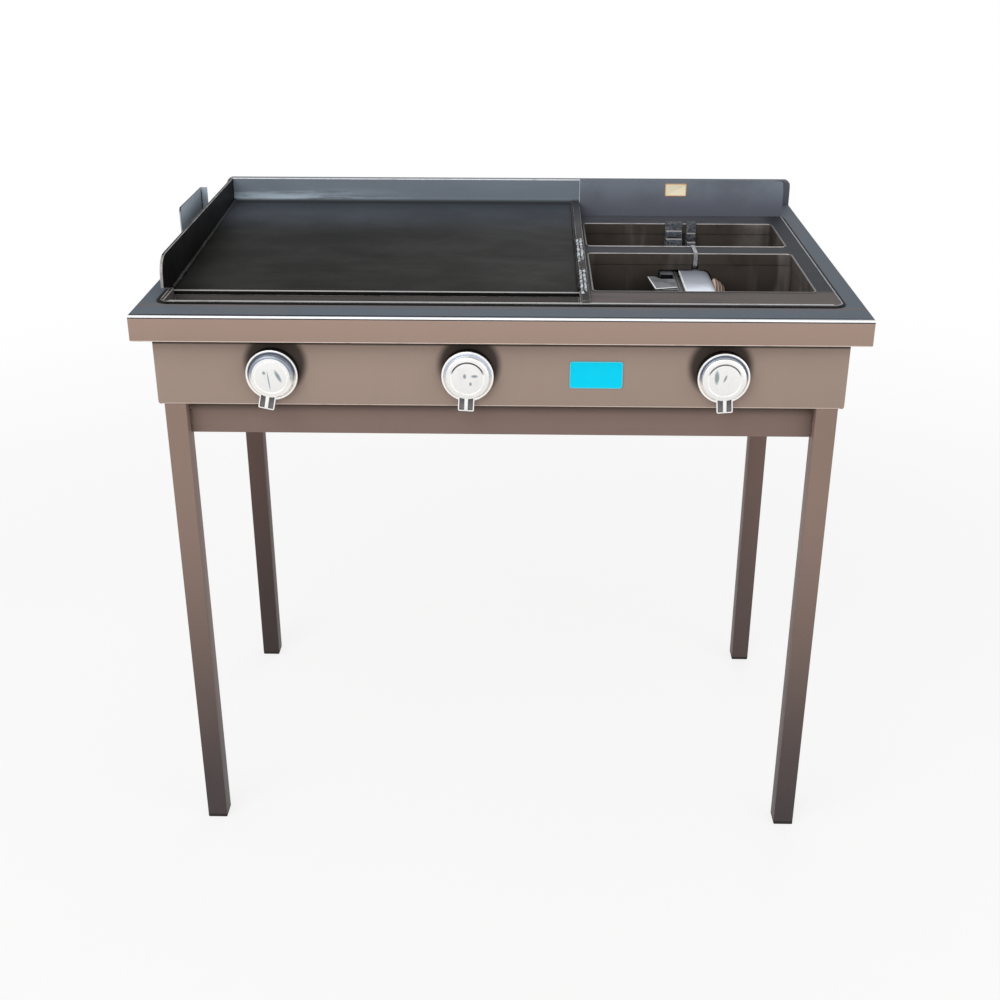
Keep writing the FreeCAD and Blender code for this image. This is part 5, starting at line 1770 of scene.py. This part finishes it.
    def edge_shadow_and_highlights(self) -> None:
        """Black strip on the worktop round the drop-in top as its painted edge shadow, and thin
        bright strips on the top as painted edge highlights.
        """
        ring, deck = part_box("griddle_ring"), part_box("well_deck")
        edge_shadow, clear, level = self.edge_shadow, self.highlight_clear, ring[1].z
        low, high = ring[0], Vector((deck[1].x, ring[1].y))
        black = frame_piece("top_edge_shadow", (low.x - edge_shadow, low.y - edge_shadow, low.z),
                            (high.x + edge_shadow * 0.7, high.y), self.corner + edge_shadow,
                            edge_shadow + self.edge_shadow_under, self.edge_shadow_thick)
        self.dress(black, SHADOW_BLACK, "griddle_steel")
        sides = frame_piece("top_edge_highlight_sides", (low.x + clear, low.y + clear, level),
                            (high.x - clear, high.y - 5 * clear), self.corner, self.highlight_sides,
                            self.highlight_thick[0])
        # Painted shade: the side strips' left end is dark.
        paint_faces(sides, DARK_EDGE, lambda middle, normal: middle.x < low.x + self.highlight_dark_end)
        self.dress(sides, SIDE_EDGE_HIGHLIGHT, "griddle_steel")
        # The front strip, hem wide, is a painted highlight along the top's front edge.
        front = low.y + 2 * clear + self.hem / 2
        bar = strip_piece("top_edge_highlight_front", (low.x + self.corner, front),
                          (high.x - self.corner, front), self.hem, level, self.highlight_thick[1])
        self.dress(bar, TOP_EDGE_HIGHLIGHT, "griddle_steel")


@dataclass
class Well(Bench):
    """Deck with its two openings, the tubs, right splash, hooks and strap."""

    tub_edge: float = 0.0006
    bend: float = 0.0009
    splash_foot: float = 0.030
    hook_edge: float = 0.0005
    strap_edge: float = 0.0004
    hooks_behind: float = 0.0755
    hook_widths: tuple[float, float] = (0.029, 0.0165)
    ledges: tuple[tuple[int, float, float, float], ...] = (
        (0, 0.012, 0.010, 0.010), (0, 0.024, 0.05, 0.016), (1, 0.016, 0.012, 0.008),
        (1, 0.030, 0.05, 0.014))
    ledge_inset: float = 0.001
    ledge_edge: float = 0.0012
    sheet_inset: float = 0.003
    label_rim: tuple[float, float] = (0.0016, -0.0003)
    label_edge: float = 0.0003

    def build(self) -> None:
        """Make and dress the pieces."""
        self.deck()
        for end in ("front", "rear"):
            self.folded(f"well_tub_{end}", WELL, "well_paint", self.tub_edge)
        self.splash()
        self.folded("rear_hooks", HOOK, "burner_steel", self.hook_edge, DARK_EDGE)
        self.hook_ledges()
        self.folded("burner_strap", STRAP, "burner_steel", self.strap_edge)
        self.label()

    def splash(self) -> None:
        """Right splash: a painted highlight on the bend at its left end, a dark line along its top.
        """
        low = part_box("splash_right")[0]
        thing = self.carried("splash_right")
        soften(thing, self.bend, GAP, 2, lambda a, b: min(a.z, b.z) > low.z + self.splash_foot
               and min(a.x, b.x) > low.x + 10 * NEAR)
        soften(thing, self.bend, SPLASH_EDGE, 2, lambda a, b: max(a.x, b.x) < low.x + NEAR)
        self.dress(thing, SPLASH_PAINT, "deck_paint", stands_for=["splash_right"])

    def hook_ledges(self) -> None:
        """Stepped blocks on the two hooks, each with a painted highlight on its top."""
        low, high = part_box("rear_hooks")
        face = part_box("well_deck")[1].y - self.hooks_behind
        left, right = self.hook_widths
        spans = ((low.x, low.x + left), (high.x - right, high.x))
        blocks = []
        for hook, drop, tall, deep in self.ledges:
            (start, end), top = spans[hook], high.z - drop
            block = box_piece("ledge", (start + self.ledge_inset, face - deep, top - tall),
                              (end - self.ledge_inset, face, top))
            soften(block, self.ledge_edge)
            paint_faces(block, RIM_EDGE, lambda middle, normal: normal.z > HALFWAY)
            blocks.append(block)
        self.dress(merged("hook_ledges", blocks), HOOK, "burner_steel")

    def deck(self) -> None:
        """Deck sheet: dark top, the edges round the openings painted light as highlights, their
        raised sides painted dark as shadow, browned lips below them.
        """
        low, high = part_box("well_deck")
        rim_foot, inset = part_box("griddle_ring")[1].z, self.sheet_inset
        thing = self.carried("well_deck")
        paint_faces(thing, WELL, lambda middle, normal: middle.z < rim_foot - NEAR
                    and abs(normal.z) < HALFWAY and low.x + inset < middle.x < high.x - inset
                    and low.y + inset < middle.y < high.y - inset)
        soften(thing, self.bend, RIM_EDGE, 3, lambda a, b: min(a.z, b.z) > high.z - NEAR)
        paint_faces(thing, RIM_EDGE, lambda middle, normal: middle.z > high.z - NEAR)
        paint_faces(thing, GAP, lambda middle, normal: rim_foot < middle.z < high.z - self.bend
                    and abs(normal.z) < SIDEWAYS)
        self.dress(thing, DECK, "deck_paint", stands_for=["well_deck"])

    def label(self) -> None:
        """Blank cream label with a darker rim."""
        thing = self.carried("label_plate")
        frame_front(thing, LABEL, self.label_rim)
        soften(thing, self.label_edge)
        self.dress(thing, LABEL_RIM, "label_plastic", stands_for=["label_plate"])


@dataclass
class Burner(Bench):
    """Burner hung in the front opening."""

    bend: float = 0.0022
    edge: float = 0.0006
    pipe_edge: float = 0.0003
    skirt: float = 0.002
    bend_reach: float = 0.004
    flange_out: float = 0.0101
    shelf_before: float = -0.038
    block_after: float = -0.036
    edging_down: float = 0.0008
    shelf_rear: tuple[float, float] = (0.0024, -0.0450)
    shelf_corner: tuple[float, float] = (0.0092, -0.1108)
    shelf_end: tuple[float, float] = (0.0415, -0.1022)
    dark_corner: tuple[float, float] = (0.0098, -0.1144)
    dark_end: tuple[float, float] = (0.0415, -0.1066)
    edging_widths: tuple[float, float, float] = (0.0018, 0.0032, 0.0034)
    nose_rings: tuple[tuple[float, float], ...] = ((1.0, 0.90), (0.86, 0.72), (0.66, 0.34))
    nose_back: float = 0.98
    nose_tip: float = 0.0004

    def build(self) -> None:
        """Make and dress the pieces."""
        self.body_shell()
        self.bracket()
        self.folded("well_feed_pipe", PIPE, "pipe_steel", self.pipe_edge)
        self.nose()

    def body_shell(self) -> None:
        """Silver shell with a painted highlight along the bend of its left edge and lighter painted
        highlights on its right edges.
        """
        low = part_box("well_burner_body")[0]
        thing = self.carried("well_burner_body")
        soften(thing, self.bend, SHELF_EDGE, 2, lambda a, b: max(a.x, b.x) < low.x + NEAR
               and min(a.z, b.z) > low.z + self.skirt, clamp=False)
        soften(thing, self.edge, SPLASH_EDGE, 2,
               lambda a, b: min(a.x, b.x) > low.x + self.bend_reach)
        self.dress(thing, BARREL, "burner_steel", stands_for=["well_burner_body"])

    def bracket(self) -> None:
        """Casting with a dark ribbed flange, a grey shelf and a block front painted black as
        shadow.
        """
        low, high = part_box("well_burner_bracket")
        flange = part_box("well_burner_body")[0].x - self.flange_out
        thing = self.carried("well_burner_bracket")
        paint_faces(thing, SHELF, lambda middle, normal: middle.x > flange or (
            middle.y < self.shelf_before and normal.z > LEANING))
        paint_faces(thing, GAP, lambda middle, normal: middle.x < flange
                    and middle.y > self.block_after and normal.y < -FACING)
        self.dress(thing, BRACKET, "burner_steel", stands_for=["well_burner_bracket"])
        self.edging(low.x, high.z - self.edging_down)

    def edging(self, left: float, level: float) -> None:
        """Painted highlights along the shelf's edges and a painted shadow line in front of them.

        Args:
            left: The shelf's left end.
            level: Height of the strips' underside.
        """
        rear, corner, end, dark_corner, dark_end = [
            (left + x, y) for x, y in (self.shelf_rear, self.shelf_corner, self.shelf_end,
                                       self.dark_corner, self.dark_end)]
        thin, wide, dark_wide = self.edging_widths
        bright = [strip_piece("shelf_left", rear, corner, thin, level),
                  strip_piece("shelf_front", corner, end, wide, level)]
        self.dress(merged("shelf_edge_highlights", bright), SHELF_EDGE, "burner_steel")
        dark = strip_piece("shelf_shadow_line", dark_corner, dark_end, dark_wide, level)
        self.dress(dark, SHADOW_BLACK, "burner_steel")

    def nose(self) -> None:
        """Ringed, rounded nose on the burner's right side."""
        low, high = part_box("well_burner_nose")
        middle = ((low.x + high.x) / 2, (low.y + high.y) / 2, (low.z + high.z) / 2)
        radius, length = (high.z - low.z) / 2, high.x - low.x
        profile = [(radius * self.nose_back, -length / 2)]
        for ring, (wide, narrow) in enumerate(self.nose_rings):
            start = -length / 2 + ring * length / 3
            for step in range(5):
                share = step / 4
                bulge = max(0.0, math.sin(math.pi * (0.15 + 0.85 * share)))
                profile.append((radius * (narrow + (wide - narrow) * bulge),
                                start + length / 3 * (0.04 + 0.9 * share)))
        profile.append((self.nose_tip, length / 2))
        thing = turned("burner_nose_rings", profile, Axis.X, middle, 72)
        self.dress(thing, NOSE_TINT, "tinted_steel", stands_for=["well_burner_nose"], smooth=50)


@dataclass
class GasTrain(Bench):
    """Pipes, valves, jets, tube burners and the hose fitting."""

    pipe_edge: float = 0.0005
    tube_edge: float = 0.0004
    valve_edge: float = 0.0006
    small_edge: float = 0.0003
    nut_edge: float = 0.0008
    rib: tuple[tuple[float, float], ...] = ((0.0050, 0.0), (0.0054, 0.0004), (0.0050, 0.0032))
    rib_start: float = 0.0165
    rib_pitch: float = 0.0045
    rib_count: int = 4

    def build(self) -> None:
        """Make and dress the pieces."""
        for node in ("gas_manifold", "manifold_plugs", "manifold_saddles", "supply_pipe"):
            self.folded(node, PIPE, "pipe_steel", self.pipe_edge)
        for node in ("griddle_burner_left", "griddle_burner_middle", "burner_rack"):
            self.folded(node, TUBE, "pipe_steel", self.tube_edge)
        for side in ("left", "middle"):
            self.folded(f"air_shutter_{side}", PIPE, "pipe_steel", self.small_edge,
                        body=f"air_shutter_{side}")
        for side in ("left", "middle", "right"):
            self.folded(f"valve_body_{side}", DIE_CAST, "valve_metal", self.valve_edge)
            self.folded(f"valve_spindle_{side}", BRASS, "brass", self.pipe_edge,
                        body=f"spindle_{side}")
        self.folded("valve_jets", BRASS, "brass", self.small_edge)
        self.hose_tail()

    def hose_tail(self) -> None:
        """Hexagon nut and ribbed tail behind the rear panel."""
        self.folded("inlet_fitting", BRASS, "brass", self.nut_edge)
        low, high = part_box("inlet_fitting")
        x, z = (low.x + high.x) / 2, (low.z + high.z) / 2
        rib = turned("rib", self.rib, Axis.Y, (0, 0, 0), 32)
        starts = [low.y + self.rib_start + step * self.rib_pitch for step in range(self.rib_count)]
        ribs = copies(rib, [(x, start, z) for start in starts])
        self.dress(merged("hose_tail_ribs", ribs), BRASS, "brass")


@dataclass(frozen=True)
class KnobLook:
    """What tells one knob from the next: its rest angle and the shade and reflections painted on
    its plating.

    Each mark holds its place from the axis, half its width, half its height and its lean.
    """

    name: str
    turn: float
    ring: Colour
    wall: Colour
    groove: Colour
    shoulder: float
    reflection_marks: tuple[tuple[float, float, float, float, float], ...]


KNOB_LOOKS = (
    KnobLook("left", 12.0, tone(112, 119, 132), tone(138, 145, 158), tone(244, 244, 244), 0.0270,
             ((-0.0085, 0.0065, 0.0026, 0.0028, 0.0), (0.0104, 0.0022, 0.0030, 0.0095, 0.45),
              (-0.0026, -0.0040, 0.0010, 0.0150, 0.10))),
    KnobLook("middle", 3.0, tone(206, 214, 226), tone(236, 239, 244), tone(92, 88, 92), 0.0301,
             ((-0.0035, 0.0040, 0.0026, 0.0040, 0.0), (0.0045, -0.0070, 0.0020, 0.0030, 0.0),
              (0.0100, 0.0040, 0.0050, 0.0022, 0.0))),
    KnobLook("right", -4.5, tone(104, 112, 126), tone(190, 199, 212), tone(120, 120, 126), 0.0301,
             ((-0.0110, 0.0050, 0.0034, 0.0105, 0.0), (0.0005, 0.0035, 0.0018, 0.0058, -0.35))),
)


@dataclass
class Knobs(Bench):
    """Three plated knobs with their bezels.

    The outline is a list of radius and distance before the back, from the bore out over the
    disc, in over the rim and the sunk ring, and up over the hub to its middle.
    """

    back: float = -0.3325
    height: float = 0.760
    bore_deep: float = -0.0088
    outline: tuple[tuple[float, float], ...] = (
        (0.0342, 0.0), (0.0356, -0.0004), (0.036, -0.0014), (0.036, -0.0058), (0.0356, -0.0067),
        (0.0348, -0.0070), (0.0337, -0.0070), (0.0331, -0.0067), (0.0325, -0.0048),
        (0.0320, -0.0045), (0.0314, -0.0046), (0.031, -0.0052), (0.0303, -0.0124),
        (0.0300, -0.0134), (0.0291, -0.0140), (0.0262, -0.0145), (0.0236, -0.01495),
        (0.0233, -0.0143), (0.0218, -0.0145), (0.0215, -0.0153), (0.0180, -0.0159),
        (0.0120, -0.0165), (0.0060, -0.0169), (0.0002, -0.0170))
    side_from: float = 0.0340
    side_depth: float = 0.0062
    front_depth: float = 0.0030
    ring_span: tuple[float, float] = (0.0312, 0.0330)
    hub_radius: float = 0.0300
    groove_span: tuple[float, float] = (0.0214, 0.0237)
    lever: float = 0.022
    lever_depth: tuple[float, float] = (0.0100, 0.0040)
    lever_root: float = 0.028
    lever_end: float = 0.049
    lever_foot: float = 0.040
    lever_corner: float = 0.0020
    lever_edge: float = 0.0004
    lever_rim: tuple[float, float] = (0.0015, 0.0)
    lever_step: tuple[float, float] = (0.0004, -0.0022)
    rib: float = 0.0052
    rib_depth: tuple[float, float] = (0.0142, 0.0050)
    rib_root: float = 0.0262
    rib_end: float = 0.0484
    rib_slant: float = 0.0024
    rib_edge: float = 0.0015
    play: float = 0.00006
    bezel_edge: float = 0.0006

    def build(self) -> None:
        """Make and dress the pieces."""
        self.folded("knob_bezels", BLACK, "bezel_plastic", self.bezel_edge)
        for look in KNOB_LOOKS:
            self.knob(look)

    def knob(self, look: KnobLook) -> None:
        """Disc with a raised rim and a sunk ring, a domed hub, and a ribbed lever.

        Args:
            look: What tells this knob from the others.
        """
        low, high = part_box(f"valve_spindle_{look.name}")
        middle = ((low.x + high.x) / 2, self.back, self.height)
        face = Plating(f"knob_face_{look.name}", tone(238, 237, 235), tone(206, 206, 208),
                       reflection_marks=tuple((middle[0] + x, middle[2] + z, wide, tall, lean)
                                   for x, z, wide, tall, lean in look.reflection_marks))
        ring = Plating(f"knob_ring_{look.name}", tone(244, 238, 230), look.ring, shaded=1.0)
        wall = Plating(f"knob_wall_{look.name}", tone(246, 242, 236), look.wall, shaded=1.0)
        groove = Plating(f"knob_groove_{look.name}", tone(250, 249, 246), look.groove, 0.764,
                         0.772, 1.0)
        bore = (high.x - low.x) / 2 + self.play
        disc = turned(f"knob_{look.name}_disc", [(bore, self.bore_deep), (bore, 0.0),
                                                 *self.outline], Axis.Y, middle, 96)

        def span(near: float, far: float) -> Test:
            """Test for faces between two distances from the axis, on the front.

            Args:
                near: Lower distance.
                far: Higher distance.

            Returns:
                The test.
            """
            def test(point: Vector, normal: Vector) -> bool:
                """Whether a face lies between them."""
                away = math.hypot(point.x - middle[0], point.z - middle[2])
                return near < away < far and point.y < self.back - self.front_depth
            return test

        # Painted light on the disc: a dark side wall, and shade painted toward the top of the ring,
        # hub wall and groove.
        paint_faces(disc, KNOB_SIDE, lambda point, normal: math.hypot(
            point.x - middle[0], point.z - middle[2]) > self.side_from
            and point.y > self.back - self.side_depth)
        paint_faces(disc, ring, span(*self.ring_span))
        paint_faces(disc, face, span(0.0, self.hub_radius))
        paint_faces(disc, wall, span(look.shoulder, self.ring_span[0]))
        paint_faces(disc, groove, span(*self.groove_span))
        knob = merged(f"knob_{look.name}_plated", [disc, self.lever_piece(look, middle)])
        self.dress(knob, KNOB_RIM, "knob_chrome", f"knob_{look.name}", [f"knob_{look.name}"], 40)

    def lever_piece(self, look: KnobLook, middle: Place) -> bpy.types.Object:
        """Lever tab with sunk flanks and a raised rib, turned to the knob's rest angle.

        Args:
            look: What tells this knob from the others.
            middle: Back of the knob, on its axis.

        Returns:
            The lever.
        """
        x, y, z = middle
        half, (front, rear) = self.lever / 2, self.lever_depth
        tab = box_piece("lever_tab", (x - half, y - front, z - self.lever_end),
                        (x + half, y - rear, z - self.lever_root))
        tab.data.materials.append(KNOB_RIM.material())
        soften(tab, self.lever_corner, None, 3, lambda a, b: abs(a.y - b.y) > rear
               and max(a.z, b.z) < z - self.lever_foot)
        frame_front(tab, KNOB_HOLLOW, self.lever_rim, self.lever_step)
        soften(tab, self.lever_edge, None, 2, lambda a, b: min(a.z, b.z) < z - 0.030)
        half, (front, rear) = self.rib / 2, self.rib_depth
        bar = box_piece("lever_rib", (x - half, y - front, z - self.rib_end),
                        (x + half, y - rear, z - self.rib_root))
        bar.data.materials.append(KNOB_RIM.material())
        with editing(bar, "EDGE"):
            pick_edges(bar, lambda a, b: max(a.y, b.y) < y - 0.012
                       and max(a.z, b.z) < z - self.lever_foot)
            bpy.ops.transform.translate(value=(0, self.rib_slant, 0))
        soften(bar, self.rib_edge, None, 3)
        lever = merged(f"lever_{look.name}", [tab, bar])
        centre = Matrix.Translation(middle)
        turn = Matrix.Rotation(math.radians(look.turn), 4, "Y")
        lever.matrix_world = centre @ turn @ centre.inverted()
        return settle(lever, lever.name)


@dataclass(frozen=True)
class Lamp:
    """Square soft lamp: where it hangs, its side in metres and its power in watts."""

    name: str
    place: Place
    size: float
    power: float


@dataclass
class Studio:
    """Floor, lamps, sky and the camera."""

    lamps: tuple[Lamp, ...] = (
        Lamp("key", (-1.2, -2.4, 2.6), 2.6, 53), Lamp("fill", (2.4, -2.2, 1.6), 2.4, 20),
        Lamp("rear", (0.6, 2.4, 2.6), 2.0, 18))
    aim: Place = (0.0, 0.0, 0.7)
    floor: float = 14.0
    floor_back: float = 2.0
    eye: Place = (0.0363, -2.1179, 1.3951)
    pitch: float = -0.432
    yaw: float = 0.020
    roll: float = 0.001
    film: float = 36.0
    lens: float = 1.376 * 36.0
    reach: tuple[float, float] = (0.05, 60.0)
    sky: float = 0.55

    def build(self) -> None:
        """Make the floor, the lights and the camera."""
        bpy.ops.object.select_all(action="DESELECT")
        bpy.ops.mesh.primitive_plane_add(size=self.floor, location=(0, self.floor_back, 0))
        floor = settle(bpy.context.object, "studio_floor")
        floor.data.materials.append(Ground("studio_ground").material())
        for lamp in self.lamps:
            self.hang(lamp)
        self.world()
        self.camera()
        bpy.context.scene.view_settings.view_transform = "Standard"

    def hang(self, lamp: Lamp) -> None:
        """Hang a lamp and aim it at the worktop.

        Args:
            lamp: Lamp to hang.
        """
        light = bpy.data.lights.new(lamp.name, "AREA")
        light.shape = "SQUARE"
        light.size = lamp.size
        light.energy = lamp.power
        hung = bpy.data.objects.new(lamp.name, light)
        hung.location = lamp.place
        aim = Vector(self.aim) - Vector(lamp.place)
        hung.rotation_euler = aim.to_track_quat("-Z", "Y").to_euler()
        bpy.context.scene.collection.objects.link(hung)

    def world(self) -> None:
        """White to the lens and in reflections, a plainer level for the light it gives."""
        world = bpy.data.worlds.new("studio_sky")
        world.use_nodes = True
        bpy.context.scene.world = world
        board = Board(world.node_tree)
        board.tree.nodes.clear()
        seen = board.rays("Is Camera Ray", "Is Glossy Ray", "Is Transmission Ray")
        plain, white = [
            board.node("ShaderNodeBackground", None, {"Color": WHITE, "Strength": level})
            for level in (self.sky, 1.0)]
        mix = board.node("ShaderNodeMixShader", None,
                         {0: seen, 1: plain.outputs[0], 2: white.outputs[0]})
        board.node("ShaderNodeOutputWorld", None, {"Surface": mix.outputs[0]})

    def camera(self) -> None:
        """Camera at the place and tilt that the photo was taken from."""
        data = bpy.data.cameras.new("camera")
        data.lens = self.lens
        data.sensor_width = self.film
        data.clip_start, data.clip_end = self.reach
        camera = bpy.data.objects.new("camera", data)
        turn = (Matrix.Rotation(self.yaw, 4, "Z")
                @ Matrix.Rotation(math.pi / 2 + self.pitch, 4, "X")
                @ Matrix.Rotation(self.roll, 4, "Z"))
        camera.matrix_world = Matrix.Translation(self.eye) @ turn
        bpy.context.scene.collection.objects.link(camera)
        bpy.context.scene.camera = camera


def main() -> None:
    """Build every sub-assembly, logging how many pieces each made, then the studio."""
    logging.basicConfig(level=logging.INFO, format="%(message)s")
    assemblies = [Underframe(), Top(), Skirt(), Griddle(), Well(), Burner(), GasTrain(), Knobs()]
    for assembly in assemblies:
        assembly.build()
        LOG.info("%s: %d pieces", type(assembly).__name__, len(assembly.made))
    Studio().build()


if __name__ == "__main__":
    main()
